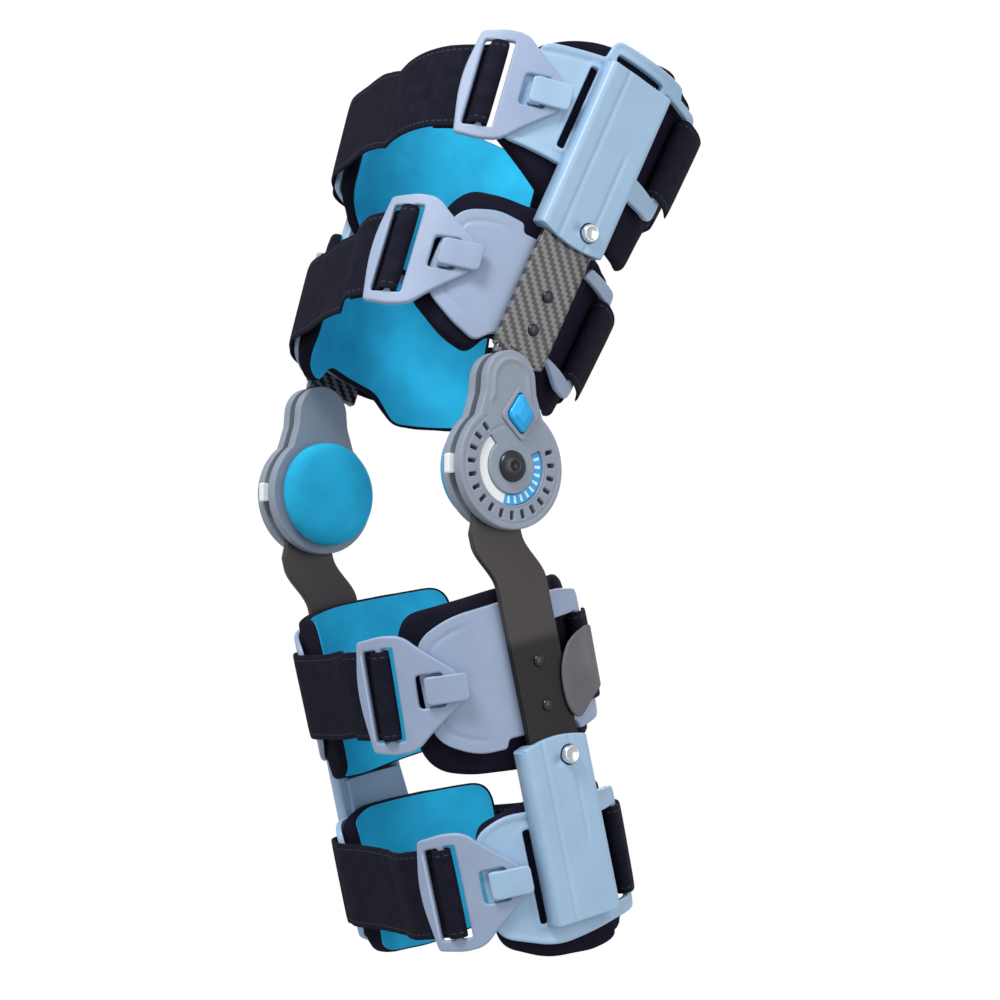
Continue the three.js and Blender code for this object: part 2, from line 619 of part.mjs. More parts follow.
const stopTab = () => plateX(outline(TAB_ROWS), ...TAB_X);

// Assembly: each side carries struts, hinge, cuffs, housings and pads; the medial side is mirrored
const splint = new THREE.Group();

function add(group, name, geometry, material) {
  const mesh = new THREE.Mesh(geometry, material);
  mesh.name = name;
  group.add(mesh);
}

function segment(side, leg) {
  const group = new THREE.Group();
  group.rotation.x = leg.lean;
  side.add(group);
  return group;
}

function buildSide(side, name, hooked) {
  add(side, `${name}_thigh_strut`, thighStrut(), TWILL);
  add(side, `${name}_hinge_cover`, hingeCover(), HINGE_GREY);
  add(side, `${name}_hinge_back`, hingeBack(), HINGE_GREY);
  add(side, `${name}_dial_scale`, dialScale(), WHITE);
  add(side, `${name}_lock_button`, lockButton(), CYAN);
  add(side, `${name}_pivot`, pivot(), STEEL);
  add(side, `${name}_condyle_pad`, condylePad(), CYAN);
  add(side, `${name}_stop_tab`, stopTab(), WHITE);

  for (const kind of ['thigh', 'calf']) {
    const { leg, flare } = CHANNELS[kind];
    const group = segment(side, leg);
    const shell = channel(CHANNELS[kind]);
    const hooks = (strapName) => (hooked ? [hook(STRAPS[strapName])] : []);
    const outer = kind === 'thigh' ? 'upper' : 'lower';
    const inner = kind === 'thigh' ? 'lower' : 'upper';
    const housing = join(wall(WALLS[`${kind}_housing`], !hooked), shell.block, ...hooks(`${kind}_${outer}`));
    add(group, `${name}_${kind}_housing`, cut(housing, ...shell.tools), HOUSING);
    add(group, `${name}_${kind}_button`, shell.button, SILVER);
    const plate = wall(WALLS[`${kind}_plate`], !hooked);
    add(group, `${name}_${kind}_plate`, hooked ? join(plate, ...hooks(`${kind}_${inner}`)) : plate, CUFF);
    for (const place of ['upper', 'lower']) {
      add(group, `${name}_${kind}_${place}_pad`, pad(PADS[`${kind}_${place}`], !hooked), FOAM);
    }
    RIVETS[kind].forEach((spot, i) => {
      add(group, `${name}_${kind}_rivet_${i + 1}`, rivet(leg, flare, spot), STEEL);
    });
    if (kind === 'calf') add(group, `${name}_calf_strut`, calfStrut(), DARK_BAR);
  }
}

const lateral = new THREE.Group();
const medial = new THREE.Group();
medial.scale.x = -1;
splint.add(lateral, medial);
buildSide(lateral, 'lateral', true);
buildSide(medial, 'medial', false);

for (const [name, band] of Object.entries(STRAPS)) {
  const group = segment(splint, band.leg);
  add(group, `${name}_strap`, strap(band), WEBBING);
  add(group, `${name}_buckle`, buckle(band), CUFF);
}

export default splint;
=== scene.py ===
"""Looks of a hinged knee splint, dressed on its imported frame: metres, +X lateral, -Y front, +Z up."""
import logging
import math
from collections.abc import Callable
from dataclasses import dataclass, replace
from enum import Enum

import bpy
import numpy as np
from mathutils import Matrix, Vector


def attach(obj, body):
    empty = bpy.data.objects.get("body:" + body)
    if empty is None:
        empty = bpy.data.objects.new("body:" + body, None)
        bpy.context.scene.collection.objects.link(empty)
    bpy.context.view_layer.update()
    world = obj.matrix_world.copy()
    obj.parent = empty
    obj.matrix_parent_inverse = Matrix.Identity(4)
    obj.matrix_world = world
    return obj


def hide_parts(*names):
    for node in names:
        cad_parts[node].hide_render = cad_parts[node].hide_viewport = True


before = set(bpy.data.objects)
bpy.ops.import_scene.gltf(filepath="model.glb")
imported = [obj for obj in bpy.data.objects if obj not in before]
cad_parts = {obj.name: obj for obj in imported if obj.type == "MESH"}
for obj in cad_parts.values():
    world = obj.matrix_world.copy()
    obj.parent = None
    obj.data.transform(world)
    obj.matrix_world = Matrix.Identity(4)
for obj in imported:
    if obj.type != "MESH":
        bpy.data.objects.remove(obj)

log = logging.getLogger("splint")
MM = 0.001
DISPLAY_GAMMA = 2.2
Rows = tuple[tuple[float, ...], ...]
Place = Callable[[np.ndarray, np.ndarray, np.ndarray], np.ndarray]
Depth = Callable[[np.ndarray, np.ndarray, np.ndarray], np.ndarray]

# Layers in millimetres off the leg's surface; ways round the leg are measured at WAY_DEPTH
PAD_SKIN, PAD_THICK, PAD_REAR_THICK = 0.4, 9.4, 6.0
WALL_IN, WALL_OUT = 10.35, 13.3
BUCKLE_IN, BUCKLE_OUT = 13.95, 16.95
HOOK_IN, HOOK_OUT = 17.6, 20.0
STRAP_THICK, STRAP_WIDTH = 2.0, 48.0
WAY_DEPTH = 12.0

# Struts and hinge in millimetres
HINGE_X = 89.0
STRUT_HALF, STRUT_DEPTH = 2.0, 15.65
GROOVE_HALF, SHELL_THICK = 2.5, 6.0
SHELL_OUTER_X = HINGE_X + GROOVE_HALF + SHELL_THICK
SHELL_INNER_X = HINGE_X - GROOVE_HALF - SHELL_THICK

# Gaps between rigid pieces, and radii of the pivot's hole and the push buttons with their holes
GAP, BUTTON_PLAY = 0.35, 0.6
SHAFT_HOLE, STRUT_HOLE, BUTTON_RADIUS = 6.4, 5.9, 5.0

# The front of the leg is flatter towards the medial side, eased in and out over these angles
MEDIAL_DROP = 15.0
DROP_OVER = (math.radians(60), math.radians(125))
DROP_FADE = (math.radians(130), math.radians(160))


class Side(Enum):
    """Side of the leg; the value is the sign of X."""

    LATERAL = 1
    MEDIAL = -1

    @property
    def prefix(self) -> str:
        """Start of the side's node names."""
        return self.name.lower()


class Slot(Enum):
    """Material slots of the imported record."""

    HOUSING = "housing_plastic"
    CUFF = "cuff_plastic"
    HINGE = "hinge_plastic"
    TWILL = "twill_strut"
    DARK_BAR = "dark_strut"
    PAD = "pad_cloth"
    BLUE_CLOTH = "blue_cloth"
    WEBBING = "webbing"
    BLUE_PLASTIC = "blue_plastic"
    SILVER = "silver_metal"
    STEEL = "dark_metal"
    PRINT = "dial_print"


def smooth(start: float, end: float, x: np.ndarray) -> np.ndarray:
    """Ease from 0 at start to 1 at end.

    Args:
        start: Where the rise begins.
        end: Where the rise is complete.
        x: Values to ease.

    Returns:
        The cubic ease 3t^2 - 2t^3 of each value.
    """
    t = np.clip((x - start) / (end - start), 0, 1)
    return t * t * (3 - 2 * t)


def bump(x: np.ndarray, centre: float, width: float) -> np.ndarray:
    """Bell curve of height 1 about a centre."""
    return np.exp(-(((x - centre) / width) ** 2))


def linear(red: int, green: int, blue: int) -> tuple[float, float, float, float]:
    """Shader colour of a display colour.

    Args:
        red: Red from 0 to 255.
        green: Green from 0 to 255.
        blue: Blue from 0 to 255.

    Returns:
        Linear red, green, blue and alpha.
    """
    shares = (np.array([red, green, blue]) / 255) ** DISPLAY_GAMMA
    return (*map(float, shares), 1.0)


# Leg segments, outlines and the surfaces built from them

# Rings of an edge strip, rounds and reach of the search for an edge, and floors of a slope that fades
EDGE_STEPS = 4
PULL_ROUNDS, SLOPE_REACH = 3, 0.02
PULL_FLOOR, AWAY_FLOOR = 0.1, 0.3

# Largest share of an edge that a rounded corner takes, and of a profile that each cut takes
CORNER_SHARE, CUT_SHARE = 0.48, 0.22


@dataclass(frozen=True)
class Leg:
    """One leg segment: an oval tube whose half-widths grow with height, leaned about the knee axis."""

    body: str
    lean: float
    flare: float
    centre_y: float
    base_z: float
    depth: float
    depth_growth: float
    side: float = HINGE_X - STRUT_DEPTH
    mirrored: bool = False

    def on_side(self, side: Side) -> "Leg":
        """The segment as drawn for one side, before its pieces are mirrored onto it."""
        return replace(self, mirrored=side is Side.MEDIAL)

    def front_drop(self, angle: np.ndarray) -> np.ndarray:
        """How much flatter the front is at an angle.

        Args:
            angle: From the side on which the piece is drawn towards the front.

        Returns:
            The drop in millimetres: eased in towards the medial side and out before its strut.
        """
        from_lateral = math.pi - angle if self.mirrored else angle
        share = smooth(*DROP_OVER, from_lateral) - smooth(*DROP_FADE, from_lateral)
        return np.where(np.sin(angle) > 0, MEDIAL_DROP * share, 0.0)

    def leaned(self, x: np.ndarray, y: np.ndarray, z: np.ndarray) -> np.ndarray:
        """Turn points of the upright segment about X by its lean.

        Args:
            x: Across the knee.
            y: Backwards.
            z: Up along the segment.

        Returns:
            Points in the shared frame, in millimetres.
        """
        c, s = math.cos(self.lean), math.sin(self.lean)
        return np.stack(np.broadcast_arrays(x, y * c - z * s, y * s + z * c), axis=-1)

    def radius(self, z: np.ndarray) -> np.ndarray:
        """Mean radius at which ways round the leg are measured."""
        growth = math.tan(self.flare) + self.depth_growth
        return (self.side + self.depth + (z - self.base_z) * growth) / 2 + WAY_DEPTH

    def at_angle(self, angle: np.ndarray, z: np.ndarray, depth: np.ndarray) -> np.ndarray:
        """Point of the oval: half-width times cosine across, half-depth times sine to the front.

        Args:
            angle: From the lateral side towards the front.
            z: Height along the segment.
            depth: Distance off the leg.

        Returns:
            Points in the shared frame, in millimetres.
        """
        rise = z - self.base_z
        side = self.side + rise * math.tan(self.flare) + depth
        front = self.depth + rise * self.depth_growth + depth - self.front_drop(angle)
        return self.leaned(side * np.cos(angle), self.centre_y - front * np.sin(angle), z)

    def wrap(self, way: np.ndarray, z: np.ndarray, depth: np.ndarray) -> np.ndarray:
        """Point at a way round the leg, forward from the strut's line, a height and a depth."""
        return self.at_angle(way / self.radius(z), z, depth)

    def on_strut(self, back: np.ndarray, along: np.ndarray, out: np.ndarray) -> np.ndarray:
        """Point in the strut's frame, which is turned by the segment's flare.

        Args:
            back: Across the strut, to the back.
            along: Up the strut.
            out: Outwards from the strut's middle plane.

        Returns:
            Points in the shared frame, in millimetres.
        """
        c, s = math.cos(self.flare), math.sin(self.flare)
        start = self.base_z if self.flare else 0.0
        return self.leaned(HINGE_X + out * c + along * s, self.centre_y + back, start - out * s + along * c)


THIGH = Leg("thigh", math.radians(-23.5), math.radians(7), -15.0, 62.0, 68.0, 0.118)
CALF = Leg("calf", math.radians(14.2), 0.0, -3.0, -80.0, 67.5, 0.035)


def across_x(back: np.ndarray, up: np.ndarray, x: np.ndarray) -> np.ndarray:
    """Point of a flat plate that stands across X in the shared frame."""
    return np.stack(np.broadcast_arrays(x, back, up), axis=-1)


def box_rows(x0: float, y0: float, x1: float, y1: float, r: float = 0.0) -> Rows:
    """Rows of a rectangle's corners, each with the same corner radius."""
    return ((x0, y0, r), (x1, y0, r), (x1, y1, r), (x0, y1, r))


def rounded(rows: Rows, segments: int = 8) -> np.ndarray:
    """Closed polygon through rows of (across, up, corner radius).

    Each corner is a quadratic curve between points one radius along its two edges.

    Args:
        rows: Corners in order; the radius may be left out.
        segments: Steps of each rounded corner.

    Returns:
        Array of points, one row each.
    """
    corner = np.array([row[:2] for row in rows], float)
    radius = np.array([row[2] if len(row) > 2 else 0.0 for row in rows])
    before, after = np.roll(corner, 1, axis=0) - corner, np.roll(corner, -1, axis=0) - corner

    def towards(step: np.ndarray) -> np.ndarray:
        """Corner moved along one edge by its radius."""
        length = np.linalg.norm(step, axis=1)
        return corner + step * (np.minimum(radius, CORNER_SHARE * length) / length)[:, None]

    t = np.linspace(0, 1, segments + 1)[None, :, None]
    start, end = towards(before)[:, None], towards(after)[:, None]
    curve = (1 - t) ** 2 * start + 2 * t * (1 - t) * corner[:, None] + t**2 * end
    points = curve.reshape(-1, 2)
    apart = np.linalg.norm(points - np.roll(points, 1, axis=0), axis=1) > 1e-6
    return points[apart]


def circle(centre: tuple[float, float], radius: float, sides: int = 40) -> np.ndarray:
    """Closed polygon round a circle.

    Args:
        centre: Middle of the circle.
        radius: Its radius.
        sides: Points round it.

    Returns:
        Array of points, one row each.
    """
    return arc(centre, radius, 0, 360 - 360 / sides, sides)


def arc(centre: tuple[float, float], radius: float, first: float, last: float, count: int) -> np.ndarray:
    """Points along an arc.

    Args:
        centre: Middle of the arc.
        radius: Its radius.
        first: Angle of the first point in degrees.
        last: Angle of the last point in degrees.
        count: Number of points.

    Returns:
        Array of points, one row each.
    """
    angle = np.radians(np.linspace(first, last, count))
    return np.array(centre) + radius * np.stack([np.cos(angle), np.sin(angle)], axis=1)


def polygon_distance(polygon: np.ndarray, x: np.ndarray, y: np.ndarray) -> np.ndarray:
    """Distance to a polygon's edge, below zero inside it.

    Args:
        polygon: Points of the closed outline.
        x: Across, any shape.
        y: Up, the same shape.

    Returns:
        Signed distances in that shape.
    """
    point = np.stack([x.ravel(), y.ravel()], axis=1)[:, None, :]
    start = polygon[None, :, :]
    edge = (np.roll(polygon, -1, axis=0) - polygon)[None, :, :]
    offset = point - start
    t = np.clip((offset * edge).sum(-1) / (edge**2).sum(-1), 0, 1)
    nearest = np.linalg.norm(offset - t[..., None] * edge, axis=-1).min(axis=1)
    end_y = start[..., 1] + edge[..., 1]
    crosses = (start[..., 1] > point[..., 1]) != (end_y > point[..., 1])
    slope = np.divide(edge[..., 0], edge[..., 1], out=np.zeros_like(edge[..., 0]), where=edge[..., 1] != 0)
    hits = crosses & (offset[..., 0] < slope * offset[..., 1])
    inside = hits.sum(axis=1) % 2 == 1
    return np.where(inside, -nearest, nearest).reshape(x.shape)


@dataclass(frozen=True)
class Region:
    """Flat region inside an outline and outside its holes."""

    outline: np.ndarray
    holes: tuple[np.ndarray, ...] = ()
    inset: float = 0.0

    def distance(self, x: np.ndarray, y: np.ndarray) -> np.ndarray:
        """Signed distance to the nearest edge of the outline or a hole.

        Args:
            x: Across.
            y: Up.

        Returns:
            Distances, below zero inside the region.
        """
        result = polygon_distance(self.outline, x, y)
        for hole in self.holes:
            result = np.maximum(result, -polygon_distance(hole, x, y))
        return result + self.inset

    def slope(self, point: np.ndarray) -> np.ndarray:
        """Slope of the signed distance, by central differences.

        Args:
            point: Rows of across and up.

        Returns:
            The slope at each point, across and up.
        """
        x, y = point.T
        step = SLOPE_REACH
        across = self.distance(x + step, y) - self.distance(x - step, y)
        up = self.distance(x, y + step) - self.distance(x, y - step)
        return np.stack([across, up], axis=1) / (2 * step)

    def pulled(self, point: np.ndarray, level: float) -> np.ndarray:
        """Points moved along the slope until their distance has a given level.

        Args:
            point: Rows of across and up.
            level: Signed distance to reach.

        Returns:
            The moved points.
        """
        for _ in range(PULL_ROUNDS):
            slope = self.slope(point)
            size = np.maximum((slope**2).sum(axis=1), PULL_FLOOR)
            point = point - ((self.distance(*point.T) - level) / size)[:, None] * slope
        return point


def edge_round(distance: np.ndarray, radius: float) -> np.ndarray:
    """Drop of a quarter-circle edge: the radius at the rim, zero one radius inside it."""
    t = np.clip(-distance / radius, 0, 1)
    return radius * (1 - np.sqrt(1 - (1 - t) ** 2))


@dataclass
class Surface:
    """Points in millimetres, quads and one UV per point of a piece being built."""

    points: np.ndarray
    quads: np.ndarray
    uv: np.ndarray

    def mirrored(self, side: Side) -> "Surface":
        """The surface on one side of the leg.

        Args:
            side: Side to put it on.

        Returns:
            A surface whose X carries that side's sign.
        """
        return Surface(self.points * np.array([side.value, 1, 1]), self.quads, self.uv)

    def outward(self) -> np.ndarray:
        """Quads that face out of the closed surface.

        Returns:
            The quads, turned round where the surface's signed volume is below zero.
        """
        a, b, c, d = (self.points[self.quads[:, k]] for k in range(4))
        volume = (a * np.cross(b, c)).sum() + (a * np.cross(c, d)).sum()
        return self.quads if volume > 0 else self.quads[:, ::-1]


def cell_corners(grid: np.ndarray) -> tuple[np.ndarray, ...]:
    """Values at the four corners of every cell of a grid, in order round the cell."""
    return grid[:-1, :-1], grid[1:, :-1], grid[1:, 1:], grid[:-1, 1:]


def sheet(
    region: Region, inner: Depth, outer: Depth, place: Place, pitch: float, edge: float = 0.6,
) -> Surface:
    """Closed plate over a flat region: two sheets on one grid, ringed by even edge strips and a rim.

    Grid points just outside the region less its edge strip are pulled onto that line. Rings of points
    then follow the border outwards by the edge times the sine of even angles, so a rounded edge is even.

    Args:
        region: Outline and holes in the plate's own coordinates.
        inner: Depth of the inner sheet as a function of across, up and signed distance.
        outer: Depth of the outer sheet in the same way.
        place: Turns across, up and depth into points of the shared frame.
        pitch: Grid step in millimetres.
        edge: Width of the edge strip.

    Returns:
        The plate's surface; its UV is across and up in millimetres.
    """
    low, high = region.outline.min(axis=0), region.outline.max(axis=0)
    spans = [np.arange(a - pitch, b + 2 * pitch, pitch) for a, b in zip(low, high)]
    x, y = np.meshgrid(*spans, indexing="ij")
    inside = region.distance(x, y) < -edge
    cell = np.any(cell_corners(inside), axis=0)
    number = np.arange(x.size).reshape(x.shape)
    top = np.stack([corner[cell] for corner in cell_corners(number)], axis=1)
    used, local = np.unique(top, return_inverse=True)
    top = local.reshape(top.shape)
    flat = np.stack([x.ravel()[used], y.ravel()[used]], axis=1)
    outside = ~inside.ravel()[used]
    flat[outside] = region.pulled(flat[outside], -edge)
    sides = np.concatenate([top[:, [k, (k + 1) % 4]] for k in range(4)])
    _, first, count = np.unique(np.sort(sides, axis=1), axis=0, return_index=True, return_counts=True)
    rim = sides[first[count == 1]]
    border = np.unique(rim)
    place_in_border = np.searchsorted(border, rim)
    away = region.slope(flat[border])
    away /= np.maximum(np.linalg.norm(away, axis=1, keepdims=True), AWAY_FLOOR)
    reach = edge * np.sin(np.linspace(0, math.pi / 2, EDGE_STEPS + 1))[1:]
    rings = [flat[border] + away * step for step in reach]
    starts = len(flat) + border.size * np.arange(EDGE_STEPS)
    loops = [rim, *(place_in_border + start for start in starts)]
    strips = [np.stack([a[:, 1], a[:, 0], b[:, 0], b[:, 1]], axis=1) for a, b in zip(loops, loops[1:])]
    top = np.concatenate([top, *strips])
    flat_level = np.minimum(region.distance(*flat.T), -edge)
    level = np.concatenate([flat_level, np.repeat(reach - edge, border.size)])
    across, up = np.concatenate([flat, *rings]).T
    total, last = across.size, loops[-1]
    side = np.stack([last[:, 1], last[:, 0], last[:, 0] + total, last[:, 1] + total], axis=1)
    points = np.concatenate([place(across, up, depth(across, up, level)) for depth in (outer, inner)])
    uv = np.tile(np.stack([across, up], axis=1), (2, 1))
    return Surface(points, np.concatenate([top, top[:, ::-1] + total, side]), uv)


def plain(depth: float, edge: float = 0.0) -> Depth:
    """Depth function of a flat sheet with a rounded edge.

    Args:
        depth: Depth of the flat part.
        edge: Drop at the rim, above zero for an outer sheet and below for an inner one.

    Returns:
        The depth as a function of across, up and distance to the edge.
    """

    def level(x: np.ndarray, y: np.ndarray, far: np.ndarray) -> np.ndarray:
        """Flat depth less the rounded edge."""
        return depth - np.sign(edge) * edge_round(far, abs(edge)) if edge else np.full_like(x, depth)

    return level


def swept(section: np.ndarray) -> np.ndarray:
    """Quads between neighbouring rings of points, each ring a loop.

    Args:
        section: Points as (rings, points of a ring, 3).

    Returns:
        Quads that number the points ring by ring.
    """
    rings, count = section.shape[:2]
    number = np.arange(rings * count).reshape(rings, count)
    looped = np.concatenate([number, number[:, :1]], axis=1)
    return np.stack([corner.ravel() for corner in cell_corners(looped)], axis=1)


def turned(rows: Rows, centre: tuple[float, float], place: Place, sides: int = 48) -> Surface:
    """Round piece turned about the outward direction.

    Each row is a ring: radius times cosine across, radius times sine up, at its own height.

    Args:
        rows: Radius and height of each ring; the ends have radius zero.
        centre: Middle in the place's first two coordinates.
        place: Turns across, up and depth into points of the shared frame.
        sides: Points round each ring.

    Returns:
        The closed surface; its UV is across and up in millimetres from the centre.
    """
    radius, height = np.array(rows, float).T
    angle = np.linspace(0, 2 * math.pi, sides, endpoint=False)
    across, up = radius[:, None] * np.cos(angle), radius[:, None] * np.sin(angle)
    depth = np.broadcast_to(height[:, None], across.shape)
    grid = place(centre[0] + across, centre[1] + up, depth)
    return Surface(grid.reshape(-1, 3), swept(grid), np.stack([across, up], axis=-1).reshape(-1, 2))


def round_rows(rows: Rows) -> Rows:
    """Profile with its corners cut twice towards a curve, keeping both ends.

    Args:
        rows: Radius and height of each corner.

    Returns:
        Rows of a finer profile.
    """
    points = np.array(rows, float)
    for _ in range(2):
        near = points[:-1] * (1 - CUT_SHARE) + points[1:] * CUT_SHARE
        far = points[:-1] * CUT_SHARE + points[1:] * (1 - CUT_SHARE)
        middle = np.stack([near, far], axis=1).reshape(-1, 2)
        points = np.concatenate([points[:1], middle, points[-1:]])
    return tuple(map(tuple, points))


# Finishes

# Spots to the metre of the noise that each look takes
MOTTLE_SCALE, GRAIN_SCALE, FOLD_SCALE, KNIT_SCALE, WEAVE_SCALE = 60, 900, 38, 2200, 130


class Shader:
    """Small helper that builds one material's node tree."""

    def __init__(self, name: str) -> None:
        """Start a material with a Principled shader.

        Args:
            name: Name of the material.
        """
        self.material = bpy.data.materials.new(name)
        self.material.use_nodes = True
        self.tree = self.material.node_tree
        self.base = self.tree.nodes["Principled BSDF"]

    def node(self, kind: str, **values: object) -> bpy.types.Node:
        """Add a node and set its properties.

        Args:
            kind: Node type, such as ShaderNodeTexNoise.
            values: Properties to set on the node.

        Returns:
            The new node.
        """
        made = self.tree.nodes.new(kind)
        for key, value in values.items():
            setattr(made, key, value)
        return made

    def feed(self, target: bpy.types.NodeSocket, source: object) -> None:
        """Link a socket to an input, or set the input's value directly.

        Args:
            target: Input to feed.
            source: Socket or plain value.
        """
        if isinstance(source, bpy.types.NodeSocket):
            self.tree.links.new(source, target)
        else:
            target.default_value = source

    def math(self, operation: str, *inputs: object) -> bpy.types.NodeSocket:
        """Add a math node.

        Args:
            operation: Name of the operation.
            inputs: Sockets or numbers in order.

        Returns:
            The value it gives.
        """
        made = self.node("ShaderNodeMath", operation=operation)
        for socket, source in zip(made.inputs, inputs):
            self.feed(socket, source)
        return made.outputs[0]

    def blend(self, factor: object, first: object, second: object) -> bpy.types.NodeSocket:
        """Add a colour mix.

        Args:
            factor: Share of the second colour.
            first: Colour at factor 0.
            second: Colour at factor 1.

        Returns:
            The mixed colour.
        """
        made = self.node("ShaderNodeMix", data_type="RGBA")
        for index, source in ((0, factor), (6, first), (7, second)):
            self.feed(made.inputs[index], source)
        return made.outputs[2]

    def uv(self) -> tuple[bpy.types.NodeSocket, bpy.types.NodeSocket]:
        """The piece's own UV in millimetres.

        Returns:
            Its two values.
        """
        split = self.node("ShaderNodeSeparateXYZ")
        self.feed(split.inputs[0], self.node("ShaderNodeUVMap", uv_map="UVMap").outputs[0])
        return split.outputs[0], split.outputs[1]

    def noise(self, scale: float, detail: float = 4.0) -> bpy.types.NodeSocket:
        """Noise in the object's coordinates.

        Args:
            scale: Spots to the metre.
            detail: Octaves of finer noise.

        Returns:
            A value about 0.5.
        """
        made = self.node("ShaderNodeTexNoise")
        self.feed(made.inputs["Vector"], self.node("ShaderNodeTexCoord").outputs["Object"])
        self.feed(made.inputs["Scale"], scale)
        self.feed(made.inputs["Detail"], detail)
        return made.outputs["Fac"]

    def colour(self, source: object) -> None:
        """Set the surface's colour."""
        self.feed(self.base.inputs["Base Color"], source)

    def raise_by(self, height: object, distance: float) -> None:
        """Bump the surface.

        Args:
            height: Height as a share of the distance.
            distance: Full height in metres.
        """
        made = self.node("ShaderNodeBump")
        for name, source in (("Height", height), ("Distance", distance), ("Strength", 1.0)):
            self.feed(made.inputs[name], source)
        self.feed(self.base.inputs["Normal"], made.outputs[0])


@dataclass(frozen=True)
class Finish:
    """Plain finish: a colour with slight mottling and fine grain."""

    slot: Slot
    colour: tuple[int, int, int]
    roughness: float
    metallic: float = 0.0
    mottle: float = 0.10
    grain: float = 0.00006
    specular: float = 0.5

    def shader(self) -> Shader:
        """Shader with the finish's plain values set.

        Returns:
            The helper, open for more nodes.
        """
        made = Shader(f"{self.slot.value}_{self.colour[0]}")
        made.feed(made.base.inputs["Roughness"], self.roughness)
        made.feed(made.base.inputs["Metallic"], self.metallic)
        made.feed(made.base.inputs["Specular IOR Level"], self.specular)
        return made

    def tint(self, shade: float) -> tuple[float, float, float, float]:
        """Shader colour of the finish made lighter or darker.

        Args:
            shade: Factor on the colour.

        Returns:
            Linear red, green, blue and alpha.
        """
        base = linear(*self.colour)
        return (*(min(1.0, value * shade) for value in base[:3]), 1.0)

    def paint(self, made: Shader) -> bpy.types.NodeSocket:
        """Mottled colour of the finish, whose fine grain is bumped into the surface."""
        made.raise_by(made.noise(GRAIN_SCALE, 2), self.grain)
        return made.blend(made.noise(MOTTLE_SCALE), self.tint(1 - self.mottle), self.tint(1 + self.mottle))

    def material(self) -> bpy.types.Material:
        """Material of the finish: mottled colour and a fine grain.

        Returns:
            The material.
        """
        made = self.shader()
        made.colour(self.paint(made))
        return made.material


@dataclass(frozen=True)
class Cloth(Finish):
    """Knitted cover: fine knit in the object's coordinates with soft creases, their hollows darkened by
    painted shade and their ridges lightened by painted light.
    """

    crease: float = 0.0012
    # Factors on the colour in the creases' hollows and on their ridges: painted shade and painted light
    shades: tuple[float, float] = (0.6, 1.5)

    def material(self) -> bpy.types.Material:
        """Material of the cloth: colour mottled with the creases, painted shade in their hollows and painted
        light on their ridges, creases and a fine knit.

        Returns:
            The material.
        """
        made = self.shader()
        crease_height_and_shade = made.noise(FOLD_SCALE, 3)
        # Painted shade and light: the colour follows the crease height, darker in the hollows and lighter on
        # the ridges
        made.colour(made.blend(crease_height_and_shade, *map(self.tint, self.shades)))
        knit = made.math("MULTIPLY", made.noise(KNIT_SCALE, 1), self.grain / self.crease)
        made.raise_by(made.math("ADD", crease_height_and_shade, knit), self.crease)
        return made.material


@dataclass(frozen=True)
class Webbing(Finish):
    """Woven strap: ribs across it and stitch lines along it, from its UV in millimetres."""

    stitch: tuple[int, int, int] = (62, 62, 76)
    stitch_line: float = 21.0
    stitch_half: float = 0.45
    stitch_pitch: float = 3.6
    stitch_share: float = 0.62
    stitch_sink: float = 2.5
    shades: tuple[float, float] = (0.55, 1.7)
    ribs: tuple[float, float] = (1.5, 1.9)
    relief: float = 0.00018

    def material(self) -> bpy.types.Material:
        """Material of the strap: dashed pale stitches near both edges, over a ribbed weave.

        Returns:
            The material.
        """
        made = self.shader()
        along, across = made.uv()
        part = made.math("FRACT", made.math("DIVIDE", along, self.stitch_pitch))
        dash = made.math("LESS_THAN", part, self.stitch_share)
        from_middle = made.math("ABSOLUTE", across)
        on_line = made.math("COMPARE", from_middle, self.stitch_line, self.stitch_half)
        seam = made.math("MULTIPLY", on_line, dash)
        cloth = made.blend(made.noise(WEAVE_SCALE), *map(self.tint, self.shades))
        made.colour(made.blend(seam, cloth, linear(*self.stitch)))
        waves = [
            made.math("SINE", made.math("MULTIPLY", value, 2 * math.pi / pitch))
            for value, pitch in zip((along, across), self.ribs)
        ]
        weave = made.math("MULTIPLY", *waves)
        sink = made.math("MULTIPLY", on_line, self.stitch_sink)
        made.raise_by(made.math("SUBTRACT", weave, sink), self.relief)
        return made.material


@dataclass(frozen=True)
class Twill(Finish):
    """Lacquered twill: short bright bands that step diagonally, from the piece's UV in millimetres."""

    cell: float = 2.0
    cycle: float = 4.0
    upright: float = 1.5
    fibres: float = 4.0
    shades: tuple[float, float] = (0.75, 1.5)
    dark: tuple[int, int, int] = (34, 34, 36)
    coat: float = 0.5
    relief: float = 0.00015

    def material(self) -> bpy.types.Material:
        """Material of the twill: cells of two fibre directions stepping by one cell in each row.

        Returns:
            The material.
        """
        made = self.shader()
        across, along = (made.math("DIVIDE", value, self.cell) for value in made.uv())
        step = made.math("ADD", made.math("FLOOR", across), made.math("FLOOR", along))
        upright = made.math("LESS_THAN", made.math("FLOORED_MODULO", step, self.cycle), self.upright)
        fibre = made.math("PINGPONG", made.math("MULTIPLY", across, self.fibres), 0.5)
        light = made.blend(fibre, *map(self.tint, self.shades))
        made.colour(made.blend(upright, linear(*self.dark), light))
        made.feed(made.base.inputs["Coat Weight"], self.coat)
        made.raise_by(upright, self.relief)
        return made.material


